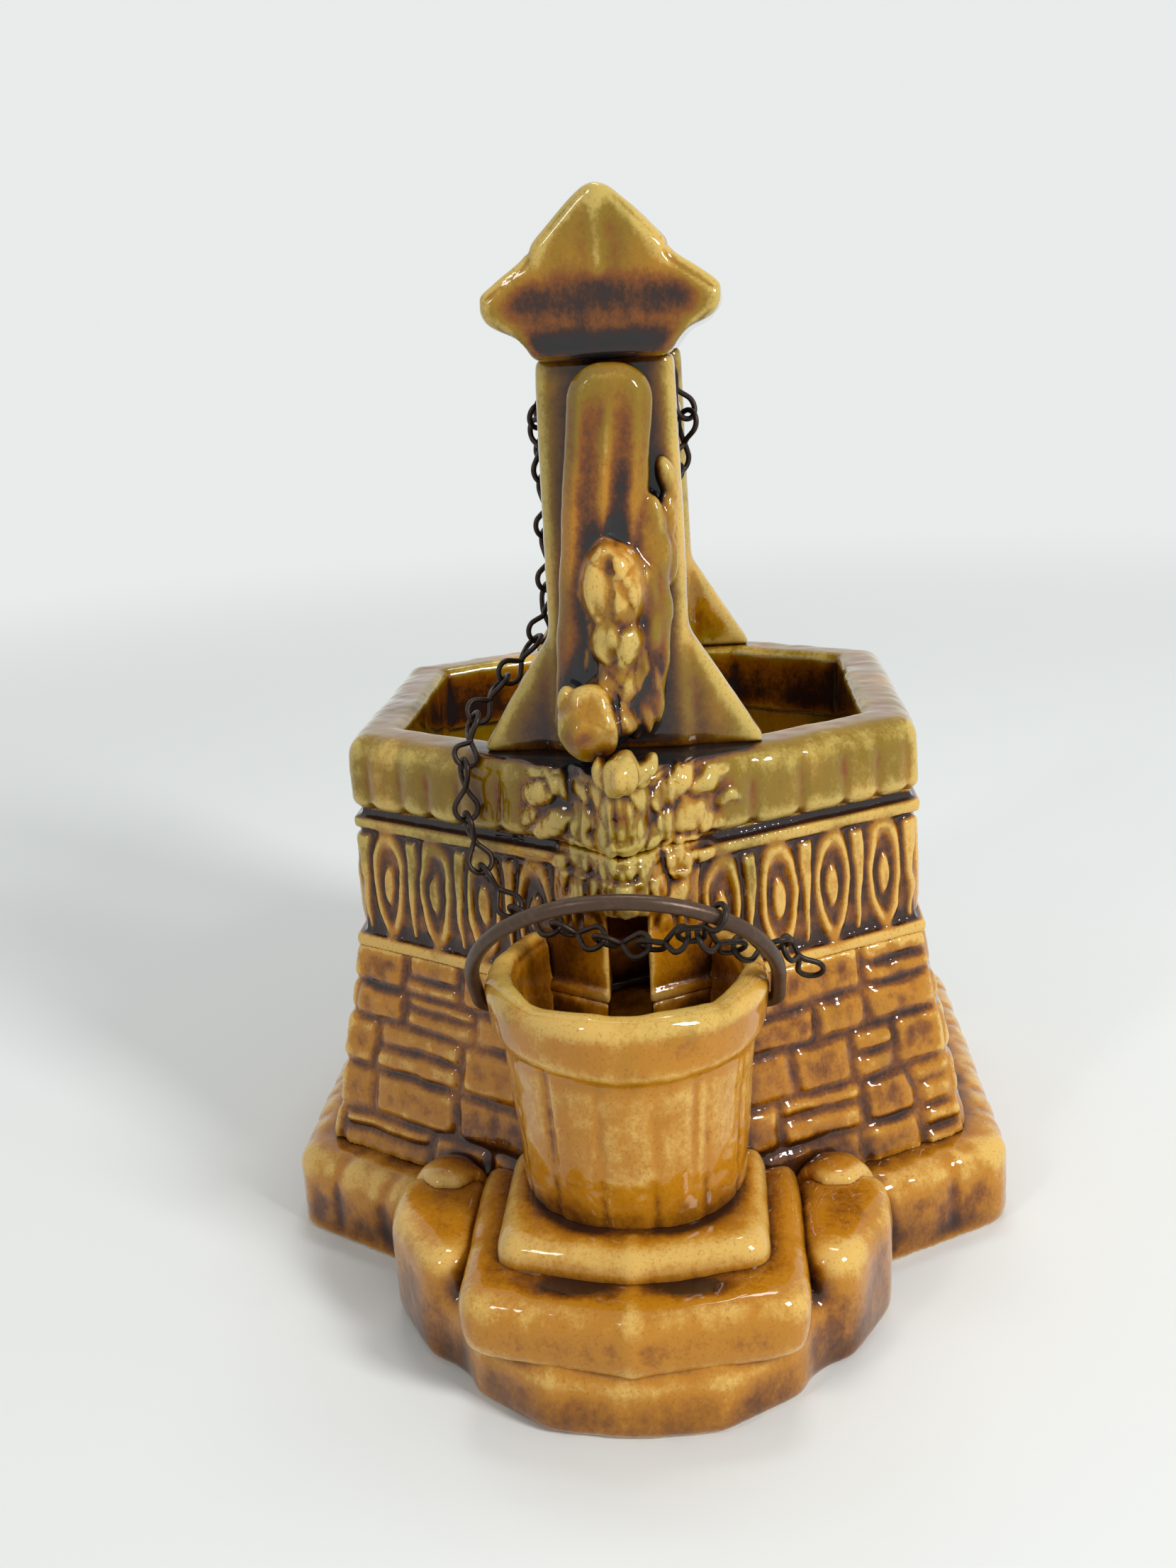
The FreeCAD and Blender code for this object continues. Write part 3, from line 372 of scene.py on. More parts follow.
class Paint:
    """The node tree of a material or a world, its nodes written as calls."""

    def __init__(self, owner):
        owner.use_nodes = True
        self.owner, self.tree = owner, owner.node_tree
        self.tree.nodes.clear()

    def node(self, kind, settings=None, inputs=None, output=0):
        """A node of a kind, its settings made first, then the values or links of its sockets."""
        node = self.tree.nodes.new(kind)
        for key, value in (settings or {}).items():
            setattr(node, key, value)
        for key, value in (inputs or {}).items():
            if isinstance(value, Wire):
                self.tree.links.new(value.socket, node.inputs[key])
            else:
                node.inputs[key].default_value = value
        return Wire(self, node.outputs[output]) if node.outputs else node

    def place(self, scale=(1 / MM,) * 3):
        """The place on the object, in millimetres, stretched by a scale."""
        inputs = {0: self.node("ShaderNodeTexCoord", output="Object"), 1: scale}
        return self.node("ShaderNodeVectorMath", {"operation": "MULTIPLY"}, inputs)

    def noise(self, pitch, detail, stretch, shift, rough=0.5):
        """Noise from 0 to 1 at a pitch in millimetres."""
        scale = tuple(1 / MM / pitch * share for share in stretch)
        spot = self.place(scale)
        inputs = {0: spot, 1: (shift,) * 3}
        spot = self.node("ShaderNodeVectorMath", {"operation": "ADD"}, inputs)
        inputs = {"Vector": spot, "Scale": 1.0, "Detail": detail, "Roughness": rough}
        return self.node("ShaderNodeTexNoise", None, inputs)

    def value(self, name):
        """A number kept on the mesh's points."""
        return self.node("ShaderNodeAttribute", {"attribute_name": name}, output="Fac")

    def mixed(self, share, first, second):
        """A mix of two colours."""
        inputs = {0: share, 6: first, 7: second}
        return self.node("ShaderNodeMix", {"data_type": "RGBA"}, inputs, output=2)

    def seen(self):
        """1 for the rays that see the studio: the camera's, and those of gloss and glass."""
        rays = ("Is Camera Ray", "Is Glossy Ray", "Is Transmission Ray")
        first, second, third = (self.node("ShaderNodeLightPath", output=ray) for ray in rays)
        return first.most(second).most(third)

    def bump(self, height, strength, distance):
        """A normal roughened by a height, over a distance in millimetres."""
        inputs = {"Strength": strength, "Distance": distance * MM, "Height": height}
        return self.node("ShaderNodeBump", None, inputs)

    def surface(self, inputs):
        """The shader and the output."""
        shader = self.node("ShaderNodeBsdfPrincipled", None, inputs)
        self.node("ShaderNodeOutputMaterial", None, {"Surface": shader})
        return self.owner


def rgb(*parts):
    """A colour with full alpha."""
    return (*parts, 1.0)


# Colours a user would change, and the finishes that use them


def colour(name, description, *parts):
    """A colour that the user can change."""
    return FloatVectorProperty(
        name=name, description=description, subtype="COLOR", size=3, default=parts, min=0, max=1
    )


def measure(name, description, default, least, most, kind=FloatProperty):
    """A number that the user can change."""
    return kind(name=name, description=description, default=default, min=least, max=most)


def millimetres(name, description, *sizes):
    """A length that the user can change, given in millimetres and kept in metres."""
    default, least, most = (size * MM for size in sizes)
    return FloatProperty(
        name=name, description=description, subtype="DISTANCE", unit="LENGTH", precision=5,
        default=default, min=least, max=most,
    )


class GlazeSettings(bpy.types.PropertyGroup):
    """The glaze's colours, from thin to deep."""

    thin: colour("Thin", "Where the glaze breaks over an edge", 0.72, 0.44, 0.10)
    straw: colour("Straw", "Where the greener glaze breaks over an edge", 0.53, 0.385, 0.090)
    caramel: colour("Caramel", "The even coat on the lower parts", 0.50, 0.20, 0.006)
    olive: colour("Olive", "The even coat on the roof, posts and rim", 0.24, 0.142, 0.001)
    amber: colour("Amber", "A slightly thicker coat", 0.22, 0.062, 0.001)
    umber: colour("Umber", "Where the glaze runs into a groove", 0.030, 0.009, 0.004)
    pooled: colour("Pooled", "Where the glaze stands deep on a level", 0.014, 0.013, 0.015)
    biscuit: colour("Biscuit", "The bare clay at the foot", 0.60, 0.48, 0.32)


class WireSettings(bpy.types.PropertyGroup):
    """Sizes and colours of the bail and the chain."""

    chain_wire: millimetres("Chain wire", "The diameter of the chain's wire", 0.88, 0.5, 2.0)
    chain_eye: millimetres("Chain eye", "From an eye's middle to its wire's", 1.92, 1.0, 4.0)
    bail_colour: colour("Bail", "The lacquered wire of the bail", 0.075, 0.042, 0.026)
    chain_colour: colour("Chain", "The darkened wire of the chain", 0.022, 0.012, 0.008)


class ReliefSettings(bpy.types.PropertyGroup):
    """How dense the clay is, and how deep its carving goes."""

    grain: measure("Grain", "A factor on the size of the mesh's cells", 1.0, 0.6, 3.0)
    stone_depth: millimetres("Stone depth", "Depth of the joints between stones", 0.78, 0.2, 2.0)
    courses: measure("Courses", "Courses of stone in the well's wall", 4, 2, 7, IntProperty)
    ornament_rise: millimetres(
        "Ornament rise", "How far the frieze's ornament stands out", 0.95, 0.2, 2.0
    )


def settings():
    """The scene's three groups of settings."""
    scene = bpy.context.scene
    return scene.planter_glaze, scene.planter_wire, scene.planter_relief


OLIVE_HEIGHTS = (40.0, 84.0)
UPPER_HEIGHTS = (70.0, 90.0)


def glaze(name):
    """The glaze, greener towards the roof, with its runs, specks, pools, pale edges and painted
    shade.
    """
    colours, _, _ = settings()
    paint = Paint(bpy.data.materials.new(name))
    hollow = paint.value("pool")
    tone = paint.value("tone")
    height = paint.node("ShaderNodeSeparateXYZ", None, {0: paint.place()}, output="Z")
    open_sky = paint.node(
        "ShaderNodeAmbientOcclusion", {"samples": 6}, {"Distance": 12.0 * MM}, output="AO"
    )
    # Painted shade: ambient occlusion from every piece darkens the glaze in corners and between
    # parts, on top of its pooling there.
    corner = (1.0 - open_sky).step(0.06, 0.62)
    upper = height.step(*UPPER_HEIGHTS)
    runs = paint.noise(2.2, 3.0, (1.0, 1.0, 0.30), 3.0)
    broad = paint.noise(15.0, 3.0, (1.0, 1.0, 0.55), 11.0)
    cloud = paint.noise(4.5, 4.0, (1.0, 1.0, 0.7), 23.0, 0.62)
    specks = paint.noise(0.42, 3.0, (1.0, 1.0, 0.9), 31.0)
    mottle = paint.noise(0.75, 4.0, (1.0, 1.0, 0.8), 41.0, 0.7)
    depth = (
        0.43
        + tone
        + hollow.least(0.55) * 1.05
        + corner * (0.58 + 0.22 * upper)
        + 0.07 * upper
        + (broad - 0.5) * 0.44
        + (cloud - 0.5) * 0.48
        + (runs - 0.5) * 0.14
        + (mottle - 0.5) * 0.44
    )
    green = (height.step(*OLIVE_HEIGHTS) + (broad - 0.5) * 2.6).step(0.3, 1.1)
    even = paint.mixed(green, rgb(*colours.caramel), rgb(*colours.olive))
    edge = paint.mixed(green, rgb(*colours.thin), rgb(*colours.straw))
    base = paint.mixed(depth.step(0.02, 0.38), edge, even)
    base = paint.mixed(depth.step(0.42, 0.76), base, rgb(*colours.amber))
    base = paint.mixed(depth.step(0.66, 1.04), base, rgb(*colours.umber))
    still = depth.step(0.95, 1.25) * height.step(70.0, 80.0)
    base = paint.mixed(still, base, rgb(*colours.pooled))
    speck = (0.42 - specks).step(0.0, 0.08) * (1.0 - depth.step(0.45, 0.9)) * 0.32
    base = paint.mixed(speck, base, rgb(*colours.amber))
    foot = 1.0 - (height + (broad - 0.5) * 2.4).step(0.3, 0.5)
    base = paint.mixed(foot, base, rgb(*colours.biscuit))
    swell = paint.noise(3.2, 2.0, (1.0, 1.0, 0.6), 5.0)
    skin = paint.noise(0.8, 2.0, EVEN, 9.0)
    return paint.surface(
        {
            "Base Color": base,
            "Roughness": 0.13 + (cloud - 0.5) * 0.08,
            "IOR": 1.5,
            "Specular IOR Level": 0.05,
            "Coat Weight": 0.85,
            "Coat Roughness": 0.03,
            "Normal": paint.bump(swell + skin * 0.10, 0.30, 0.35),
        }
    )


def lacquered(name, fresh, dull, shine):
    """Darkened wire with a worn lacquer."""
    paint = Paint(bpy.data.materials.new(name))
    wear = paint.noise(1.8, 4.0, EVEN, 2.0, 0.6)
    fine = paint.noise(0.35, 3.0, EVEN, 7.0)
    return paint.surface(
        {
            "Base Color": paint.mixed(wear.step(0.45, 0.75) * 0.6, rgb(*fresh), rgb(*dull)),
            "Metallic": 0.55,
            "Roughness": shine + wear * 0.18,
            "Normal": paint.bump(fine, 0.3, 0.05),
        }
    )


def kept(name, make, *values):
    """A finish that is made once."""
    return bpy.data.materials.get(name) or make(name, *values)


# Ceramic members


def grain(voxel):
    """A cell size, with the user's factor on it."""
    return voxel * settings()[2].grain


def outer_side(clay, least=0.35):
    """How far each point lies on a six-sided member's outer faces, from 0 to 1."""
    face = on_faces(clay.points)[0]
    out = (clay.normals()[:, :2] * FACE_WAYS[face]).sum(1)
    return rise(out, least, least + 0.3)


def beside_joint(clay, length, least, most, wander, pitch, seed):
    """How far each point lies from the nearest upright joint on its face."""
    face, along, _ = on_faces(clay.points)
    distance = np.zeros(len(face))
    for number in range(6):
        joints = uneven(length, least, most, seed + number) - length / 2
        lean = wander * clay.cloudy(pitch, seed + 10 + number)
        beside, _ = to_joints(along + lean, joints)
        distance = np.where(face == number, beside, distance)
    return distance


def ashlar(length, height, courses, seed):
    """Blocks of a wall of broken courses, each as left, right, low, high in millimetres."""
    random, least_split = np.random.default_rng(seed), 13
    beds = uneven(height, 0.75 * height / courses, 1.25 * height / courses, seed)
    blocks = []
    for low, high in zip(beds, beds[1:]):
        sides = uneven(length, 10.5, 21.0, seed + int(low) + 1)
        for left, right in zip(sides, sides[1:]):
            bed = low + (high - low) * random.uniform(0.4, 0.6)
            side = left + (right - left) * random.uniform(0.4, 0.6)
            kind = random.uniform()
            if kind < 0.13:
                blocks += [(left, right, low, bed), (left, right, bed, high)]
            elif kind < 0.32 and right - left > least_split:
                blocks += [(left, side, low, high)]
                blocks += [(side, right, low, bed), (side, right, bed, high)]
            else:
                blocks += [(left, right, low, high)]
    return blocks


def stones(points, low, high, courses, seed):
    """The relief of uneven stones, from 0 in a joint to about 1, and each stone's tone."""
    face, along, reach = on_faces(points)
    side, tall, corner_round = 60.0, 38.0, 1.9
    past_foot, past_head = -9.0, 11.0
    corner = reach * math.tan(math.radians(30))
    walk = (face + 0.5 + 0.5 * along / corner) % 6 * side
    height = (points[:, 2] - low) * tall / (high - low)
    walk = walk + 0.7 * cloudy(points, 6.0, seed + 40) + 0.3 * cloudy(points, 2.2, seed + 41)
    walk %= 6 * side
    height = height + 0.9 * cloudy(points, 13.0, seed + 42) + 0.35 * cloudy(points, 4.0, seed + 43)
    random = np.random.default_rng(seed + 1)
    relief, tone = np.zeros(len(points)), np.zeros(len(points))
    for left, right, under, over in ashlar(6 * side, tall, courses, seed):
        under = past_foot if under < 1 else under
        over = tall + past_head if over > tall - 1 else over
        bulge, shade = random.uniform(-0.20, 0.26), random.uniform(-0.08, 0.09)
        tilt, nod = random.uniform(-0.2, 0.2, 2)
        inside = (walk >= left) & (walk < right) & (height >= under) & (height < over)
        bed = np.minimum(height - under, over - height)[inside]
        beside = np.minimum(walk - left, right - walk)[inside]
        both = np.maximum(corner_round - bed, 0) ** 2 + np.maximum(corner_round - beside, 0) ** 2
        near = np.minimum(bed, beside)
        edge = np.where(near < corner_round, corner_round - np.sqrt(both), near)
        lean = tilt * (2 * (walk[inside] - left) / (right - left) - 1)
        lean += nod * np.clip((height[inside] - under) / (over - under) - 0.5, -1, 1)
        relief[inside] = rise(edge, 0.0, 1.5) * (1.0 + bulge + lean) + 0.12 * rise(edge, 0.8, 3.5)
        tone[inside] = shade
    return relief, tone


def within_bucket(points):
    """How far points lie inside the bucket's mouth, where the wall behind it is bare."""
    x, y, z = points.T
    reach = np.hypot(x, y - BUCKET_Y)
    return fall(reach, 17.5, 20.5) * fall(z, BUCKET_TOP + 1.0, BUCKET_TOP + 4.0)


class PLANTER_OT_wall(bpy.types.Operator):
    """Builds the battered stone wall of the well, open to the bucket behind its slot."""

    bl_idname = "planter.wall"
    bl_label = "Stone wall"

    def execute(self, context):
        carving = settings()[2]
        foot, head = span("stone_wall")[1][0], span("frieze_band")[1][0]
        wall, overlap = 5.8, 0.2
        ring = hex_ring(
            [
                (PLINTH_TOP - overlap, foot, foot - wall),
                (WALL_TOP + overlap, head, head - wall),
            ]
        )
        half = SLOT_HALF
        slot = prism([(-half, -80), (half, -80), (half, -40), (-half, -40)], 29.0, 66.0)
        clay = Clay([ring], grain(0.5), slot).relax(3)
        outer = outer_side(clay)
        relief, tone = stones(clay.points, PLINTH_TOP, WALL_TOP, carving.courses, 11)
        rough = 0.16 * clay.cloudy(1.7, 3) + 0.12 * clay.cloudy(4.5, 4)
        bare = within_bucket(clay.points)
        cut = (relief - 1) * carving.stone_depth / MM + 0.25
        clay.push(outer * (cut * (1 - bare) + rough * relief))
        clay.relax(2, 0.45)
        # Painted shade darkens the slot's jambs, the wall inside the bucket and the faces inside
        # the well.
        jamb = hump(np.abs(clay.points[:, 0]) - SLOT_HALF, 0.9) * bare
        tone = (tone + 0.22 - 0.18 * fall(relief, 0.1, 0.7)) * outer * (1 - bare)
        tone += jamb + 0.16 * bare + 0.36 * (1 - outer)
        clay.fired("stone_wall_body", ["stone_wall"], tone)
        return {"FINISHED"}


def ornament(along, height, low, high):
    """The frieze's eggs and darts, from 0 on the ground to 1."""
    centre, half = (low + high) / 2, (high - low) / 2 - 0.6
    pitch, panel_half = 10.4, 30
    egg = ((along / pitch + 0.5) % 1 - 0.5) * pitch
    down = (height - centre) / half
    width = 3.1 * (1 + 0.16 * down)
    ring = np.hypot(egg / width, down * 1.02)
    shell = hump((ring - 0.93) * 2.9, 0.62)
    core = rise(0.50 - np.hypot(egg / width, down * 1.1), 0.0, 0.22) * 0.85
    dart = pitch / 2 - np.abs(egg)
    point = 0.35 + 0.95 * rise(down, -0.9, 0.8)
    spear = rise(point - dart, -0.25, 0.45) * rise(0.98 - np.abs(down), 0.0, 0.12)
    return np.maximum(np.maximum(shell, core), spear) * (np.abs(along) < panel_half)


def petal(centre, lean, long, wide, thick, out=(0, -1, 0)):
    """An almond petal with a pointed tip, leaning from straight down, as a bmesh."""
    out = Vector(out).normalized()
    turn = math.radians(lean)
    along = Vector((math.sin(turn), 0, -math.cos(turn)))
    along = (along - out * along.dot(out)).normalized()
    side = along.cross(out)
    shape = bmesh.new()
    bmesh.ops.create_icosphere(shape, subdivisions=3, radius=1.0)
    for vertex in shape.verts:
        x, y, z = vertex.co
        taper = 1 - 0.45 * max(z, 0) ** 2
        vertex.co = (
            Vector(centre)
            + side * (x * wide / 2 * taper)
            + out * (y * thick / 2)
            + along * (z * long / 2)
        )
    return shape


RIM_LOBES = (
    # across, height, width, length, lean from straight down, rise
    (0.2, 89.4, 4.6, 9.0, 172, 1.8), (-2.9, 87.6, 3.2, 9.6, -6, 1.3),
    (3.2, 86.8, 3.4, 10.4, 5, 1.4), (-0.3, 82.8, 5.4, 9.6, 2, 2.0),
    (-2.6, 80.4, 2.6, 8.0, 6, 1.1), (2.6, 80.0, 2.8, 8.4, -6, 1.2),
    (0.1, 75.8, 5.2, 8.8, 0, 1.9), (-2.5, 73.6, 2.8, 8.0, 6, 1.1),
    (3.1, 74.4, 2.8, 8.2, -6, 1.2), (0.3, 69.4, 4.2, 8.0, 0, 1.4),
    (-2.4, 67.6, 2.6, 6.6, 0, 0.9), (2.8, 67.8, 2.6, 6.6, 0, 0.9),
    (-5.2, 88.6, 2.2, 4.4, 0, 1.1), (-5.6, 85.2, 2.4, 4.8, 8, 1.2),
    (-6.2, 80.4, 4.2, 7.4, -4, 1.5), (-7.0, 74.8, 4.0, 7.2, 4, 1.4),
    (-4.5, 76.6, 1.9, 8.4, 0, 0.9), (-7.8, 69.0, 3.2, 6.6, 0, 1.0),
    (-4.9, 69.6, 2.4, 6.6, 0, 1.0), (4.9, 77.6, 2.4, 8.2, 0, 1.1),
    (5.4, 88.4, 2.6, 5.0, 8, 1.1), (6.1, 84.6, 3.0, 5.4, -4, 1.3),
    (6.7, 80.2, 3.8, 6.0, -6, 1.4), (5.1, 71.0, 3.0, 7.6, 0, 1.0),
    (-9.9, 87.2, 4.2, 9.0, 20, 1.6), (-13.2, 84.0, 4.6, 6.8, -60, 1.4),
    (-12.8, 88.0, 3.2, 5.4, -110, 1.0), (-10.4, 79.6, 4.2, 6.6, -35, 1.4),
    (-12.8, 77.8, 3.6, 6.2, -50, 1.1), (-9.9, 73.4, 3.6, 6.6, -10, 1.1),
    (9.0, 86.4, 4.0, 8.8, 155, 1.7), (12.9, 85.6, 4.3, 8.0, 115, 1.6),
    (9.7, 80.8, 5.2, 6.8, 50, 1.7), (12.9, 79.2, 3.4, 6.4, 60, 1.1),
    (8.3, 74.2, 4.8, 9.4, 8, 1.6), (11.7, 74.6, 3.6, 6.8, 40, 1.2),
    (8.0, 67.8, 3.4, 6.6, 6, 1.0), (16.2, 82.2, 2.8, 4.8, 80, 0.8),
    (-15.2, 80.2, 2.8, 4.8, -60, 0.8),
)
CRANK_LOBES = (
    # across, height, width, length, lean from straight down, rise
    (-2.4, 115.0, 5.4, 11.4, -6, 1.3), (0.7, 119.9, 4.6, 9.4, 64, 1.1),
    (3.5, 115.8, 4.2, 10.6, 4, 1.2), (0.6, 113.4, 3.2, 7.0, 4, 0.7),
    (-1.2, 108.2, 5.8, 7.6, 6, 1.3), (2.5, 107.6, 4.2, 7.4, -8, 1.1),
    (-2.0, 111.0, 3.4, 4.6, 40, 0.9), (0.6, 104.2, 5.4, 4.6, 90, 0.8),
    (-0.9, 101.0, 3.0, 7.2, 10, 0.8), (1.9, 101.2, 3.0, 8.2, -4, 0.9),
    (-1.6, 98.0, 4.6, 6.4, 40, 0.7), (1.0, 96.6, 3.0, 6.4, 10, 0.8),
    (3.6, 103.6, 2.2, 9.0, -6, 0.8), (-4.6, 104.8, 1.4, 5.6, -6, 0.5),
)


def lobed(points, lobes, seed):
    """The height of overlapping lobes at points, and how near they lie to a crease."""
    x = points[:, 0] + 0.75 * cloudy(points, 2.4, seed)
    z = points[:, 2] + 0.95 * cloudy(points, 2.4, seed + 1)
    best, second = np.zeros(len(x)), np.zeros(len(x))
    for x0, z0, wide, long, lean, high in lobes:
        turn = math.radians(lean)
        across = (x - x0) * math.cos(turn) + (z - z0) * math.sin(turn)
        along = ((x - x0) * math.sin(turn) - (z - z0) * math.cos(turn)) * 2 / long
        half = wide / 2 * (1 - 0.45 * np.clip(along, 0, 1) ** 2)
        dome = np.clip(1 - (across / half) ** 2 - along**2, 0, 1)
        vein = 0.16 * high * hump(across, 0.16 * wide) * rise(dome, 0.1, 0.5)
        height = high * dome**0.85 - vein
        second = np.maximum(second, np.minimum(best, height))
        best = np.maximum(best, height)
    crease = fall(best - second, 0.0, 0.30) * rise(second, 0.0, 0.3)
    rim = fall(best, 0.05, 0.45) * rise(best, 0.0, 0.03)
    fold = np.abs(cloudy(points * (1, 1, 0.42), 1.7, seed + 2))
    line = 0.5 * fall(fold, 0.0, 0.20)
    moulded = rise(best, 0.15, 0.7)
    return best + 0.9 * fold * moulded, np.maximum(np.maximum(crease, 0.5 * rim), line * moulded)


def rim_vine(points):
    """The vine's height and tone where it hangs over the well's near corner."""
    height, crease = lobed(points, RIM_LOBES, 250)
    x, y, z = points.T
    front = (y < CORNER_Y) * rise(z, 62.5, 66.0)
    height = height * (1 - 0.4 * hump(x, 5.0))
    base = 2.1 * hump((np.abs(x) / 4.9) ** 2, 1.0) * rise(z, 64.0, 72.0)
    top = rise(height, 0.5, 1.3)
    ground = fall(height, 0.0, 0.25) * hump(x + 0.5, 11.0)
    heart = hump(np.hypot(x + 0.2, (z - 83.0) / 1.6), 1.5)
    heart += hump(np.hypot(x, (z - 76.0) / 1.6), 1.3)
    ground *= 1 - hump((np.abs(x) / 4.4) ** 2, 1.0)
    tone = 0.34 * crease + 0.24 * ground + (1.05 * heart - 0.12) * top
    return (height + base) * front, tone * front


CRANK_BODIES = (
    # across, out from the arm, height, lean, length, width, thickness
    (0.2, 0.4, 115.2, 2, 15.4, 10.4, 7.6), (0.4, 0.4, 107.4, 4, 10.4, 8.6, 6.6),
    (0.3, 0.2, 101.4, 6, 10.8, 6.6, 5.0), (-0.6, -1.4, 95.8, 70, 7.6, 5.8, 5.4),
    (-1.4, -0.8, 98.6, 40, 8.4, 7.0, 4.6), (-3.6, -3.0, 97.0, 55, 9.4, 8.0, 6.6),
    (-7.0, -2.0, 98.2, 10, 7.0, 3.6, 4.0),
)
CRANK_STRAND = (
    # across, height, width, length, lean, back from the arm's face
    (6.6, 124.6, 3.0, 8.0, 8, 2.6), (6.9, 119.0, 3.6, 9.6, -4, 2.6),
    (5.4, 115.4, 2.4, 8.0, 6, 1.2), (6.9, 112.0, 3.6, 9.4, 5, 2.6),
    (5.4, 108.4, 2.4, 7.6, -5, 1.0), (6.4, 104.4, 3.2, 8.6, -5, 2.2),
    (4.8, 102.4, 2.6, 7.4, 6, 0.8), (5.4, 98.0, 3.0, 7.8, 6, 1.8),
    (3.6, 96.0, 2.8, 6.8, 20, 0.6), (8.6, 130.4, 2.9, 7.4, 20, 5.0),
    (8.3, 125.0, 2.7, 7.6, 0, 4.6), (8.4, 118.6, 2.6, 8.0, 0, 4.8),
)


def crank_shapes():
    """The arm and its grip, the round bodies of the bunch, and the strand of leaves beside."""
    face, beside = CRANK_FRONT, (0.45, -0.9, 0)
    shapes = [
        petal((5.4, face + 2.6, 112.0), 0, 34.0, 6.0, 5.0, (0.4, -0.9, 0)),
        petal((4.0, face + 1.8, 101.5), -12, 20.0, 6.0, 5.0, (0.3, -0.95, 0)),
    ]
    shapes += [petal((x, face + out, z), *sizes) for x, out, z, *sizes in CRANK_BODIES]
    for x, z, wide, long, lean, behind in CRANK_STRAND:
        shapes.append(petal((x, face + behind, z), lean, long, wide, 3.4, beside))
    return shapes + [copied("crank_arm"), copied("crank_handle")]


class PLANTER_OT_crank(bpy.types.Operator):
    """Builds the crank arm, its round grip, and the lobed bunch and leaves moulded on it."""

    bl_idname = "planter.crank"
    bl_label = "Crank"

    def execute(self, context):
        nodes = ["crank_arm", "crank_handle", "crank_vine"]
        clay = Clay(crank_shapes(), grain(0.34)).relax(9)
        clay.push(0.15)
        x, y, z = clay.points.T
        low, high = span("crank_arm")
        middle = 1.3 - 5.6 * (high[2] - z) / (high[2] - low[2])
        front = rise(-clay.normals()[:, 1], 0.5, 0.8)
        grip = rise(-y, 49.6, 51.0) * (x < 0.5)
        across = x - middle
        rib = 0.42 * hump(across, 0.8) - 0.30 * hump(np.abs(across) - 2.6, 1.5)
        fade = rise(z, 119.0, 124.0) * fall(z, 138.0, 144.0)
        height, crease = lobed(clay.points, CRANK_LOBES, 260)
        bunch = hump(np.hypot((x - 0.3) / 5.0, (z - 115.2) / 7.4) ** 2, 1.0)
        bunch = np.maximum(bunch, hump(np.hypot((x - 0.5) / 4.2, (z - 106.0) / 7.0) ** 2, 1.0))
        height *= 0.62
        clay.push(front * rib * fade + 0.15 * clay.cloudy(4.5, 201))
        clay.push(front * (1 - grip) * height, FORWARD)
        clay.push(grip * 0.80 * clay.cloudy(3.4, 204))
        clay.relax(2)
        drift = 1 + 0.4 * clay.cloudy(5.0, 205)
        channel = 0.34 * hump(across - 2.5, 2.2) * fall(z, 131.0, 143.0) * drift
        channel += 0.22 * hump(across + 3.2, 2.0) * fall(z, 134.0, 146.0) * drift
        channel += 0.40 * hump(z - 124.4, 2.4) * hump(across - 1.6, 2.8)
        channel *= rise(z, 117.0, 123.0)
        x, y, z = clay.points.T
        nose = hump(np.hypot(x + 5.7, z - 94.6), 2.1) * (y < -52)
        bare = fall(height, 0.0, 0.3) * fall(bunch, 0.3, 0.7)
        pool = 0.52 * hump(z - 101.5, 5.0) + 0.26 * hump(z - 115.0, 9.0) * hump(across, 5.2)
        heart = 0.40 * hump(np.hypot(x - 0.4, (z - 112.2) / 2.2), 1.5)
        heart += 0.45 * hump(np.hypot(x - 0.2, (z - 102.4) / 1.4), 1.6)
        tone = channel + bare * pool * (1 - grip) + 0.30 * crease + heart - 0.30 * bunch
        tone = 0.10 + front * tone - 0.16 * grip + 0.65 * nose
        clay.fired("crank_and_grip", nodes, tone)
        return {"FINISHED"}


def under_vine(points):
    """Where the vine covers the rim and the frieze, and their own relief stops."""
    x, y, z = points.T
    return fall(np.abs(x), 8.0, 12.5) * (y < CORNER_Y) * rise(z, 64.0, 68.0)


def drips(points):
    """Narrow upright ridges of run glaze and stalks."""
    return 0.80 * np.abs(cloudy(points * (1, 1, 0.14), 1.4, 240)) - 0.2


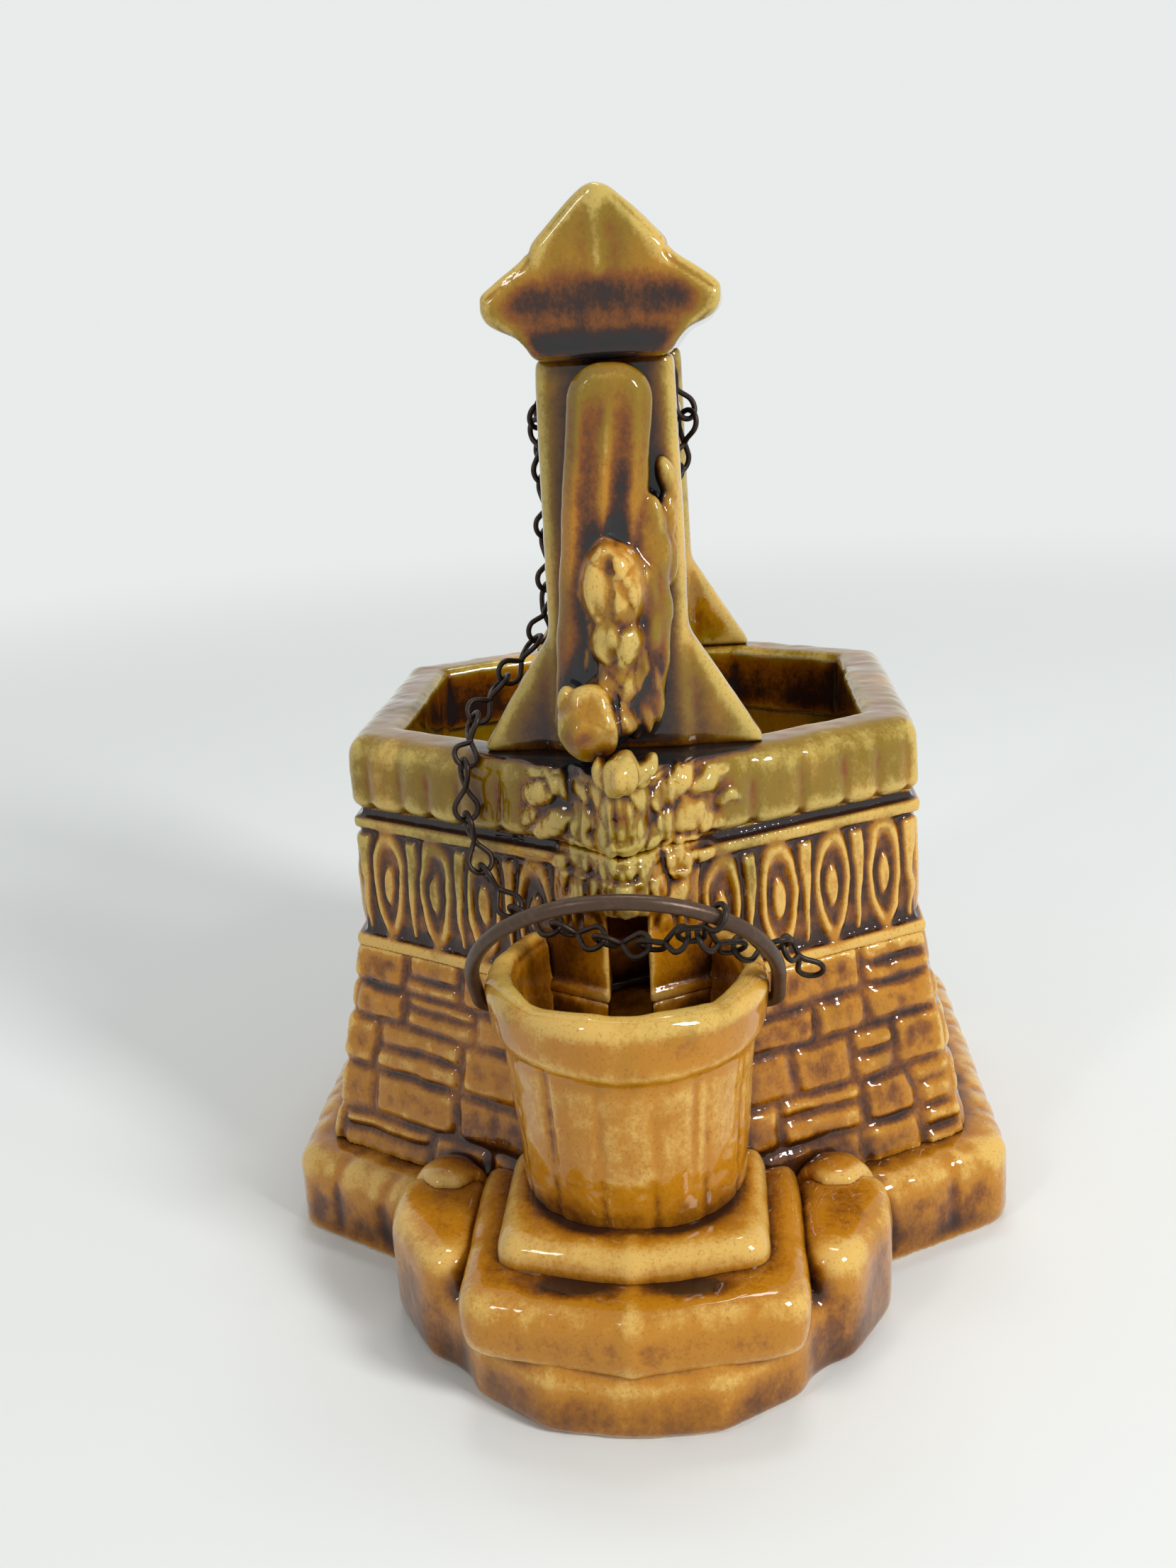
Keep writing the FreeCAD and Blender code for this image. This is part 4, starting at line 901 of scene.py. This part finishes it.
class PLANTER_OT_frieze(bpy.types.Operator):
    """Builds the band under the rim, with a common egg and dart between its ledges."""

    bl_idname = "planter.frieze"
    bl_label = "Frieze"

    def execute(self, context):
        clay = from_nodes(["frieze_band"], grain(0.42))
        outer, (_, along, _) = outer_side(clay), on_faces(clay.points)
        height = clay.points[:, 2]
        low, high = WALL_TOP + 1.8, FRIEZE_TOP - 3.4
        panel = rise(height, low, low + 0.8) * fall(height, high - 0.8, high)
        wander = 0.45 * clay.cloudy(4.0, 7)
        raised = ornament(along + wander, height, low, high) * settings()[2].ornament_rise / MM
        foot_dip = hump(height - low - 1.6, 1.7) * 0.35
        rough = 0.14 * clay.cloudy(2.6, 8) + 0.10 * clay.cloudy(1.1, 9)
        ledges = 0.25 * clay.cloudy(9.0, 10)
        bare = within_bucket(clay.points)
        under = under_vine(clay.points)
        raised *= (1 - bare) * (1 - under)
        amount = panel * (raised - 0.40 - foot_dip + rough) + (1 - panel) * (0.2 + ledges)
        amount -= 0.8 * rise(height, FRIEZE_TOP - 2.0, FRIEZE_TOP - 0.8)
        amount = amount * (1 - under) + under * (drips(clay.points) + 1.0 * panel)
        amount *= 1 - bare
        clay.push(outer * amount)
        height_of, shade = rim_vine(clay.points)
        clay.push(outer * height_of, FORWARD)
        clay.relax(2, 0.4)
        sunk = panel * fall(raised, 0.1, 0.6) * outer
        tone = 0.10 * outer + sunk * (0.06 + 0.20 * hump(height - low, 2.6))
        tone -= 0.10 * outer * rise(raised, 0.3, 0.9)
        # Painted shade along the band's top, under the coping's overhang.
        tone += 0.70 * outer * rise(height, FRIEZE_TOP - 2.4, FRIEZE_TOP - 0.9)
        tone = tone * (1 - under) + shade
        # Painted shade where the band lies inside the bucket's mouth.
        tone = tone * (1 - bare) + 0.12 * bare
        clay.fired("frieze_panel_band", ["frieze_band"], tone)
        return {"FINISHED"}


class PLANTER_OT_coping(bpy.types.Operator):
    """Builds the rim of upright boards round the opening."""

    bl_idname = "planter.coping"
    bl_label = "Coping"

    def execute(self, context):
        corner = span("coping")[0][1]
        tips = [
            petal((0.6, corner - 0.6, 89.6), 160, 6.8, 5.4, 4.6),
            petal((-2.6, corner + 0.8, 89.4), 190, 4.6, 2.6, 3.0),
            petal((4.2, corner + 1.4, 89.6), 150, 5.4, 2.8, 3.0),
        ]
        clay = Clay([copied("coping"), *tips], grain(0.42)).relax(4)
        clay.push(0.12)
        outer, (_, _, reach) = outer_side(clay, 0.1), on_faces(clay.points)
        height = (clay.points[:, 2] - FRIEZE_TOP) / (COPING_TOP - FRIEZE_TOP)
        beside = beside_joint(clay, 64.0, 6.0, 9.5, 0.5, 7.0, 60)
        amount = 0.22 * rise(beside, 0.0, 2.6) - 0.30 * hump(beside, 0.9)
        fade = 1 - 0.86 * rise(height, 0.45, 0.92)
        under = under_vine(clay.points)
        clay.push(outer * (amount * fade * (1 - under) + drips(clay.points) * under))
        foot = outer * fall(height, 0.02, 0.30) * rise(-amount, -0.1, 0.5)
        clay.points[:, 2] += 0.3 * foot
        clay.push(0.22 * clay.cloudy(6.5, 81) + 0.07 * clay.cloudy(1.8, 82))
        height_of, shade = rim_vine(clay.points)
        clay.push(outer * height_of, FORWARD)
        clay.relax(2, 0.4)
        inner = 1 - outer
        low = inner * fall(height, 0.2, 0.9)
        x, y, z = clay.points.T
        shelf = rise(-y, 39.0, 41.0) * fall(np.abs(x), 19.0, 25.0) * rise(np.abs(x), 1.0, 5.0)
        shelf *= rise(z, COPING_TOP - 1.2, COPING_TOP - 0.4) * fall(reach, 45.2, 47.0)
        level = rise(clay.normals()[:, 2], 0.6, 0.9)
        # Painted shade darkens the inner faces inside the well, most of all low down.
        tone = 0.34 * low + 0.22 * inner * (height < 0.9) + 0.85 * shelf + shade
        # Painted shade dims the faces that look up.
        tone += 0.12 * level - 0.08 * outer
        clay.fired("coping_rim", ["coping", "rim_vine"], tone)
        return {"FINISHED"}


class PLANTER_OT_plinth(bpy.types.Operator):
    """Builds the broad foot with its softly worn edge."""

    bl_idname = "planter.plinth"
    bl_label = "Plinth"

    def execute(self, context):
        clay = from_nodes(["plinth"], grain(0.7))
        above = rise(clay.points[:, 2], 0.5, 3.0)
        outer = outer_side(clay, 0.0)
        worn = 0.45 * clay.cloudy(7.5, 15, 0.4) + 0.16 * clay.cloudy(2.2, 16)
        cobble = hump(beside_joint(clay, 76.0, 7.0, 15.0, 1.4, 9.0, 17), 1.3)
        clay.push(above * (worn - 0.38 * cobble * outer) - 0.12)
        clay.relax(2)
        clay.fired("plinth_slab", ["plinth"], 0.08 * outer + 0.10)
        return {"FINISHED"}


def touched(clay, swell, pitch, fine, seed):
    """The hand's broad swells and fine ones, stretched upright, from the ground up."""
    ground = rise(clay.points[:, 2], 0.2, 3.0)
    broad = clay.cloudy(pitch, seed, 0.45)
    return ground * (swell * broad + fine * clay.cloudy(1.5, seed + 1))


class PLANTER_OT_posts(bpy.types.Operator):
    """Builds the two posts with their braces, softened into one another."""

    bl_idname = "planter.posts"
    bl_label = "Posts and braces"

    def execute(self, context):
        for number, end in enumerate(("front", "back")):
            nodes = [end + "_post", end + "_left_brace", end + "_right_brace"]
            clay = from_nodes(nodes, grain(0.5)).relax(14)
            clay.push(touched(clay, 0.20, 7.0, 0.04, 100 + 2 * number) + 0.12)
            clay.relax(2)
            clay.fired(end + "_post_and_braces", nodes)
        return {"FINISHED"}


def deepened(node):
    """A node's shape with its foot drawn down and in, so that only its top rounds off."""
    shape = copied(node)
    low = span(node)[0][2]
    drop, taper, middle = 3.0, 0.985, -66
    for vertex in shape.verts:
        x, y, z = vertex.co
        if z < low + 0.5:
            vertex.co = (taper * x, taper * (y - middle) + middle, z - drop)
    return shape


class PLANTER_OT_steps(bpy.types.Operator):
    """Builds the boulders and the two worn steps that carry the bucket."""

    bl_idname = "planter.steps"
    bl_label = "Steps and boulders"

    def execute(self, context):
        nodes = ["front_rock", "left_rock", "right_rock"]
        fill = [
            prism([(side * 20, -50), (side * 33, -50), (side * 33, -71), (side * 20, -83)], 0, 12)
            for side in (-1, 1)
        ]
        clay = Clay([copied(name) for name in nodes] + fill, grain(0.6))
        clay.relax(44)
        x, y, z = clay.points.T
        shoulder = rise(z, 8.5, 12.0) * fall(np.abs(x), 21.0, 25.5) * rise(-y, 66.0, 76.0)
        clay.push(touched(clay, 0.38, 8.0, 0.06, 140) + 0.30 - 0.9 * shoulder)
        clay.relax(2)
        front = hump(clay.points[:, 0], 20.0) * rise(-clay.points[:, 1], 72.0, 80.0)
        clay.fired("boulders", nodes, 0.21 - 0.13 * front)
        for number, (node, front) in enumerate((("lower_step", -83.5), ("upper_step", -77.5))):
            clay = Clay([deepened(node)], grain(0.5)).relax(70)
            clay.push(touched(clay, 0.18, 8.0, 0.05, 144 + 2 * number) + 0.85)
            x, y, _ = clay.points.T
            tread = rise(clay.normals()[:, 2], 0.75, 0.97)
            crescent = hump(np.abs(x) - 8.5, 5.5) * (1 - 0.75 * hump(x, 2.2))
            reach = np.hypot(x, y - BUCKET_Y)
            near = hump(reach - 17.0, 2.0) * (y < BUCKET_Y) if number else hump(y - front, 2.2)
            sunk = tread * crescent * near
            clay.push(-0.35 * sunk + 0.25 * hump(x, 1.5) * (y < front))
            clay.relax(3)
            tone = (0.62 + 0.30 * number) * sunk + 0.19 * (1 - number)
            clay.fired(node + "_tread", [node], tone)
        for number, node in enumerate(("left_pebble", "right_pebble")):
            clay = from_nodes([node], grain(0.4)).relax(24)
            clay.push(touched(clay, 0.25, 4.0, 0.05, 150 + 2 * number) + 1.1)
            clay.fired(node + "_stone", [node], 0.26)
        return {"FINISHED"}


class PLANTER_OT_roof(bpy.types.Operator):
    """Builds the saddle roof with its shingles and its sunk gable line."""

    bl_idname = "planter.roof"
    bl_label = "Roof"

    def execute(self, context):
        clay = from_nodes(["roof"], grain(0.5)).relax(22)
        clay.push(0.18)
        low, high = span("roof")
        x, y, z = clay.points.T
        ways = clay.normals()
        slope = rise(ways[:, 2], 0.25, 0.6)
        gable = rise(np.abs(ways[:, 1]), 0.6, 0.85)
        eaves, kink, ridge = 150.0, 162.6, 172.0
        amount = np.zeros(len(x))
        for course, (under, over) in enumerate(((eaves, kink), (kink, ridge))):
            joints = uneven(high[1] - low[1], 6.0, 10.0, 160 + course) + low[1]
            lean = 0.6 * clay.cloudy(6.0, 165 + course)
            beside, number = to_joints(y + lean, joints)
            tilt = np.random.default_rng(170 + course).uniform(-0.2, 0.3, len(joints))[number]
            shingle = rise(beside, 0.1, 1.1) * 0.75 - 0.55 + tilt * rise(beside, 0.3, 1.6)
            amount = np.where((z >= under) & (z < over), shingle, amount)
        amount = amount * slope * fall(z, 168.5, 170.5)
        sag = z + 0.05 * np.abs(x)
        crease = -0.45 * hump(sag - 157.4, 3.2)
        reach = fall(np.abs(x), 11.0, 16.0)
        seam = 0.35 * hump(x, 1.1) * rise(z, 158.0, 160.0)
        amount = amount + gable * (crease * reach + seam)
        amount -= 1.3 * rise(-ways[:, 2], 0.2, 0.5) * hump(np.abs(x) - 12.8, 2.4)
        rough = 0.16 * clay.cloudy(6.0, 181) + 0.05 * clay.cloudy(1.7, 182)
        amount += rough * (1 - 0.7 * gable)
        clay.push(amount)
        clay.relax(2)
        # Painted shade under the eaves.
        under = rise(153.0 - z, 0.0, 3.0)
        sag = sag - 0.8 * clay.cloudy(7.0, 183)
        band = 0.25 * gable * hump(sag - 156.8, 3.4) * (1 - 0.7 * rise(np.abs(x), 9.0, 15.0))
        # Painted shade at the gable's foot, where the roof narrows to the post.
        band += 0.32 * gable * fall(z, 149.0, 153.5) * fall(np.abs(x), 8.0, 13.0)
        band += 0.27 * gable * fall(z, 154.0, 161.0)
        band -= 0.12 * gable * hump(x, 1.4) * rise(z, 157.5, 161.0)
        band += 0.05 * gable * rise(z, 160.0, 163.0)
        clay.fired("saddle_roof", ["roof"], 0.34 * under + band)
        return {"FINISHED"}


class PLANTER_OT_windlass(bpy.types.Operator):
    """Builds the log between the posts, with bark furrows and worn collars."""

    bl_idname = "planter.windlass"
    bl_label = "Windlass"

    def execute(self, context):
        clay = from_nodes(["windlass"], grain(0.5))
        x, _, z = clay.points.T
        radius, furrow_turn = 9.9, 18
        turn = np.degrees(np.arctan2(z - span("windlass")[1][2] + radius, x))
        wander = 6 * clay.cloudy(8.0, 190)
        furrow = np.abs((turn + wander) / furrow_turn % 1 - 0.5)
        clay.push(-0.4 * hump(furrow, 0.16) + 0.1 * clay.cloudy(2.0, 191))
        clay.relax(2)
        clay.fired("windlass_log", ["windlass"], 0.1)
        return {"FINISHED"}


class PLANTER_OT_bucket(bpy.types.Operator):
    """Builds the hollow bucket with its hand-trimmed lip, band and staves."""

    bl_idname = "planter.bucket"
    bl_label = "Bucket"

    def execute(self, context):
        clay = from_nodes(["bucket"], grain(0.42)).relax(5)
        x, y, z = clay.points.T
        turn = np.arctan2(y - BUCKET_Y, x)
        reach = np.hypot(x, y - BUCKET_Y)
        around = np.stack([np.cos(turn) * 9, np.sin(turn) * 9, np.zeros(len(x))], axis=1)
        lip = rise(z, BUCKET_TOP - 4.5, BUCKET_TOP)
        clay.points[:, 2] += lip * (0.9 * cloudy(around, 5.5, 220) - 0.45)
        clay.points[:, 2] += lip * 0.25 * cloudy(around, 1.6, 221)
        bore, shell = 17.4, 18.4
        outside = rise(reach, bore, shell) * rise(z, 25.5, 27.0)
        edge = BUCKET_TOP - 9.0 + 0.8 * cloudy(around, 6.0, 225)
        band = 0.42 * rise(z, edge - 1.2, edge + 1.2) - 0.14 * hump(z - edge + 1.8, 1.5)
        hoop = -0.30 * hump(z - 32.0, 0.9) * rise(cloudy(around, 5.0, 226), -0.1, 0.4)
        staves = np.zeros(len(x))
        joints = (-157, -128, -101, -74, -58, -31, -8, 20, 160, -180)
        for number, place in enumerate(joints):
            across = (np.degrees(turn) - place + 180) % 360 - 180
            depth = 0.10 + 0.30 * (number % 3 == 1)
            staves -= depth * hump(across, 2.2) * fall(z, edge - 3.0, edge)
        body_down, mouth_down = 16.0, 3.0
        body, mouth = (
            np.median(reach[(outside > 0.9) & (np.abs(z - BUCKET_TOP + down) < 0.7)])
            for down in (body_down, mouth_down)
        )
        share = np.clip((z - BUCKET_TOP + body_down) / (body_down - mouth_down), 0, 1)
        flare = (body + (mouth - body) * share - reach) * outside * (share > 0) * (share < 1)
        clay.points[:, 0] += 0.6 * flare * np.cos(turn)
        clay.points[:, 1] += 0.6 * flare * np.sin(turn)
        swell = 0.24 * clay.cloudy(7.0, 223) + 0.06 * clay.cloudy(1.6, 224)
        trimmed = lip * (0.40 * cloudy(around, 3.2, 222) + 0.12)
        trimmed -= 0.8 * (reach < bore) * rise(z, BUCKET_TOP - 14.0, BUCKET_TOP - 3.0)
        clay.push(outside * (band + hoop + staves) + trimmed + swell + 0.15)
        clay.relax(2)
        # Painted shade: the inside of the bucket darkens with depth below the lip.
        deep = (1 - outside) * rise(BUCKET_TOP - z, 3.0, 22.0) * (reach < shell)
        foot = hump(z - 26.0, 1.2) * outside
        tone = 0.04 * deep - (0.11 + 0.18 * fall(z, 27.0, 40.0)) * outside + 0.36 * foot
        tone += 0.13 * outside * rise(z, edge - 1.0, edge + 1.0)
        clay.fired("bucket_pail", ["bucket"], tone)
        return {"FINISHED"}


# Wire


def tube(path, radius, sides=8):
    """A closed ring of round wire along points, as a mesh in metres."""
    count = len(path)
    ahead = np.roll(path, -1, axis=0) - np.roll(path, 1, axis=0)
    ahead /= np.linalg.norm(ahead, axis=1)[:, None]
    any_way = (0.31, 0.52, 0.79)
    side = np.cross(ahead[0], any_way)
    sideways = []
    for way in ahead:
        side = side - way * side.dot(way)
        side /= np.linalg.norm(side)
        sideways.append(side)
    last = np.cross(ahead[0], sideways[0])
    slip = math.atan2(sideways[-1] @ last, sideways[-1] @ sideways[0])
    shape = bmesh.new()
    rings = []
    for i, (side, way) in enumerate(zip(sideways, ahead)):
        turns = np.linspace(0, 2 * math.pi, sides, endpoint=False) - slip * i / (count - 1)
        up = np.cross(way, side)
        ring = path[i] + radius * (np.cos(turns)[:, None] * side + np.sin(turns)[:, None] * up)
        rings.append([shape.verts.new(corner * MM) for corner in ring])
    for first, second in zip(rings, rings[1:] + rings[:1]):
        banded(shape, first, second)
    bmesh.ops.recalc_face_normals(shape, faces=shape.faces)
    mesh = as_mesh(shape, "wire")
    mesh.shade_smooth()
    return mesh


def link_frame(node):
    """A link's middle, the way to one eye, and the sideways ways of that eye and the other."""
    found = {tuple(np.round(np.array(v.co) / MM, 3)) for v in frame["nodes"][node].data.vertices}
    points = np.array(sorted(found))
    middle = points.mean(0)
    _, _, axes = np.linalg.svd(points - middle)
    along = axes[0]
    reach = (points - middle) @ along
    middle = middle + along * (reach.max() + reach.min()) / 2
    reach = (points - middle) @ along
    ways, waist = [], 1.6
    for side in (1, -1):
        eye = points[reach * side > waist] - middle
        eye = eye - np.outer(eye @ along, along)
        _, _, spread = np.linalg.svd(eye - eye.mean(0))
        ways.append(spread[0])
    ways[1] = ways[1] - ways[0] * (ways[0] @ ways[1])
    ways[1] /= np.linalg.norm(ways[1])
    return middle, along, ways[0], ways[1], reach.max()


def link_path(half, eye, gap):
    """A link's wire: round one eye, across the waist, round the other eye and back."""
    centre = half - eye
    slope = math.asin(eye / centre)
    steps, waist = 17, 0.35
    path = []
    for end in (1, -1):
        for turn in np.linspace(-(math.pi / 2 + slope), math.pi / 2 + slope, steps):
            x = end * (centre + eye * math.cos(turn))
            across = eye * math.sin(turn)
            path.append((x, across, 0) if end > 0 else (x, 0, across))
        first = end > 0
        path.append((waist * end, gap if first else 0, 0 if first else gap))
        path.append((-waist * end, 0 if first else -gap, gap if first else 0))
    return np.array(path)


def cut_corners(points):
    """A closed path with each corner cut into two."""
    after = np.roll(points, -1, axis=0)
    pairs = [0.75 * points + 0.25 * after, 0.25 * points + 0.75 * after]
    return np.stack(pairs, axis=1).reshape(-1, 3)


class PLANTER_OT_chain(bpy.types.Operator):
    """Builds the chain's links, each of round wire bent into two eyes."""

    bl_idname = "planter.chain"
    bl_label = "Chain"

    def execute(self, context):
        look, stock_wire = settings()[1], 1.05
        wire, eye = look.chain_wire / MM, look.chain_eye / MM
        worn = (0.05, 0.03, 0.02)
        finish = kept("chain_lacquer", lacquered, look.chain_colour, worn, 0.30)
        bodies = frame["record"]["behaviour"]["bodies"]
        owner = {node: body for body, nodes in bodies.items() for node in nodes}
        for node in sorted(n for n in frame["nodes"] if n.startswith("chain_link")):
            middle, along, first, second, reach = link_frame(node)
            half = reach - stock_wire / 2
            local = cut_corners(link_path(half, eye, wire * 0.42))
            path = middle + local @ np.stack([along, first, second])
            piece = bpy.data.objects.new(node + "_wire", tube(path, wire / 2))
            placed(piece, finish, [node], owner[node])
        return {"FINISHED"}


class PLANTER_OT_bail(bpy.types.Operator):
    """Builds the bucket's bail of round lacquered wire."""

    bl_idname = "planter.bail"
    bl_label = "Bail"

    def execute(self, context):
        worn = (0.13, 0.075, 0.045)
        finish = kept("bail_lacquer", lacquered, settings()[1].bail_colour, worn, 0.26)
        clay = Clay([copied("bail")], grain(0.26)).relax(6)
        clay.push(0.02 * clay.cloudy(3.0, 230))
        clay.fired("bail_wire_bow", ["bail"], 0.0, finish, "bail", "bail_wire")
        return {"FINISHED"}


# Stage


STUDIO_AIR = (0.81, 0.835, 0.83)
FLOOR_FADE = (250.0, 900.0)


def aimed(place, target):
    """A turn that looks from a place at a target."""
    way = Vector(target) - Vector(place)
    return Matrix.Translation(Vector(place)) @ way.to_track_quat("-Z", "Y").to_matrix().to_4x4()


class PLANTER_OT_stage(bpy.types.Operator):
    """Sets the floor, the soft studio light and the camera."""

    bl_idname = "planter.stage"
    bl_label = "Stage"

    def execute(self, context):
        scene = context.scene
        scene.view_settings.view_transform = "Standard"
        shape = bmesh.new()
        bmesh.ops.create_grid(shape, x_segments=1, y_segments=1, size=20.0)
        floor = as_object(shape, "studio_floor")
        paint = Paint(bpy.data.materials.new("floor_paper"))
        paper = paint.node("ShaderNodeBsdfDiffuse", None, {"Color": rgb(0.82, 0.84, 0.83)})
        air = paint.node("ShaderNodeEmission", None, {"Color": rgb(*STUDIO_AIR), "Strength": 1.0})
        away = paint.node(
            "ShaderNodeVectorMath", {"operation": "LENGTH"}, {0: paint.place()}, output="Value"
        )
        share = away.step(*FLOOR_FADE) * paint.seen()
        both = paint.node("ShaderNodeMixShader", None, {0: share, 1: paper, 2: air})
        paint.node("ShaderNodeOutputMaterial", None, {"Surface": both})
        floor.data.materials.append(paint.owner)
        self.world(scene)
        for name, place, energy, wide, tall in (
            ("right_softbox", (0.80, -0.62, 0.72), 8.8, 0.22, 0.32),
            ("left_softbox", (-0.62, -0.78, 0.78), 1.5, 0.13, 0.22),
            ("top_softbox", (0.05, 0.30, 1.10), 3.0, 0.50, 0.14),
        ):
            lamp = bpy.data.lights.new(name, "AREA")
            lamp.energy = energy
            lamp.shape = "RECTANGLE"
            lamp.size, lamp.size_y = wide, tall
            light = bpy.data.objects.new(name, lamp)
            light.matrix_world = aimed(place, (0, 0, 0.08))
            scene.collection.objects.link(light)
        self.camera(scene)
        return {"FINISHED"}

    def world(self, scene):
        """A pale studio all round, which the camera and the gloss see brighter than it shines."""
        world = bpy.data.worlds.new("studio_air")
        paint = Paint(world)
        inputs = {"Color": rgb(*STUDIO_AIR), "Strength": 0.52 + 0.48 * paint.seen()}
        air = paint.node("ShaderNodeBackground", None, inputs)
        paint.node("ShaderNodeOutputWorld", None, {"Surface": air})
        scene.world = world

    def camera(self, scene):
        """The camera, as worked out from the well's corners in the photograph."""
        place = Vector((13.9, -259.1, 150.4)) * MM
        yaw, pitch, roll = (math.radians(a) for a in (-5.17, 17.02, -3.34))
        ahead = Vector(
            (math.sin(yaw) * math.cos(pitch), math.cos(yaw) * math.cos(pitch), -math.sin(pitch))
        )
        level = Vector((math.cos(yaw), -math.sin(yaw), 0))
        upright = level.cross(ahead)
        right = level * math.cos(roll) + upright * math.sin(roll)
        up = upright * math.cos(roll) - level * math.sin(roll)
        eye = bpy.data.cameras.new("camera")
        eye.sensor_fit = "VERTICAL"
        eye.sensor_height = 36.0
        focal, tall = 2039.9, 2212.0
        eye.lens = focal / tall * eye.sensor_height
        eye.clip_start = 0.01
        holder = bpy.data.objects.new("camera", eye)
        turn = Matrix((right, up, -ahead)).transposed().to_4x4()
        holder.matrix_world = Matrix.Translation(place) @ turn
        scene.collection.objects.link(holder)
        scene.camera = holder


class PLANTER_PT_sidebar(bpy.types.Panel):
    """Lists the planter's pieces and settings."""

    bl_label = "Planter"
    bl_space_type = "VIEW_3D"
    bl_region_type = "UI"
    bl_category = "Planter"

    def draw(self, context):
        for operator in OPERATORS:
            self.layout.operator(operator.bl_idname)
        for group in settings():
            for name in group.__annotations__:
                self.layout.prop(group, name)


OPERATORS = (
    PLANTER_OT_stage,
    PLANTER_OT_plinth,
    PLANTER_OT_wall,
    PLANTER_OT_frieze,
    PLANTER_OT_coping,
    PLANTER_OT_posts,
    PLANTER_OT_steps,
    PLANTER_OT_roof,
    PLANTER_OT_windlass,
    PLANTER_OT_crank,
    PLANTER_OT_bucket,
    PLANTER_OT_bail,
    PLANTER_OT_chain,
)
GROUPS = {
    "planter_glaze": GlazeSettings,
    "planter_wire": WireSettings,
    "planter_relief": ReliefSettings,
}
CLASSES = (*GROUPS.values(), *OPERATORS, PLANTER_PT_sidebar)


def register():
    for kind in CLASSES:
        bpy.utils.register_class(kind)
    for name, group in GROUPS.items():
        setattr(bpy.types.Scene, name, PointerProperty(type=group))


def unregister():
    for name in GROUPS:
        delattr(bpy.types.Scene, name)
    for kind in reversed(CLASSES):
        bpy.utils.unregister_class(kind)


def main():
    """Builds everything."""
    register()
    for operator in OPERATORS:
        group, name = operator.bl_idname.split(".")
        getattr(getattr(bpy.ops, group), name)()


if __name__ == "__main__":
    main()
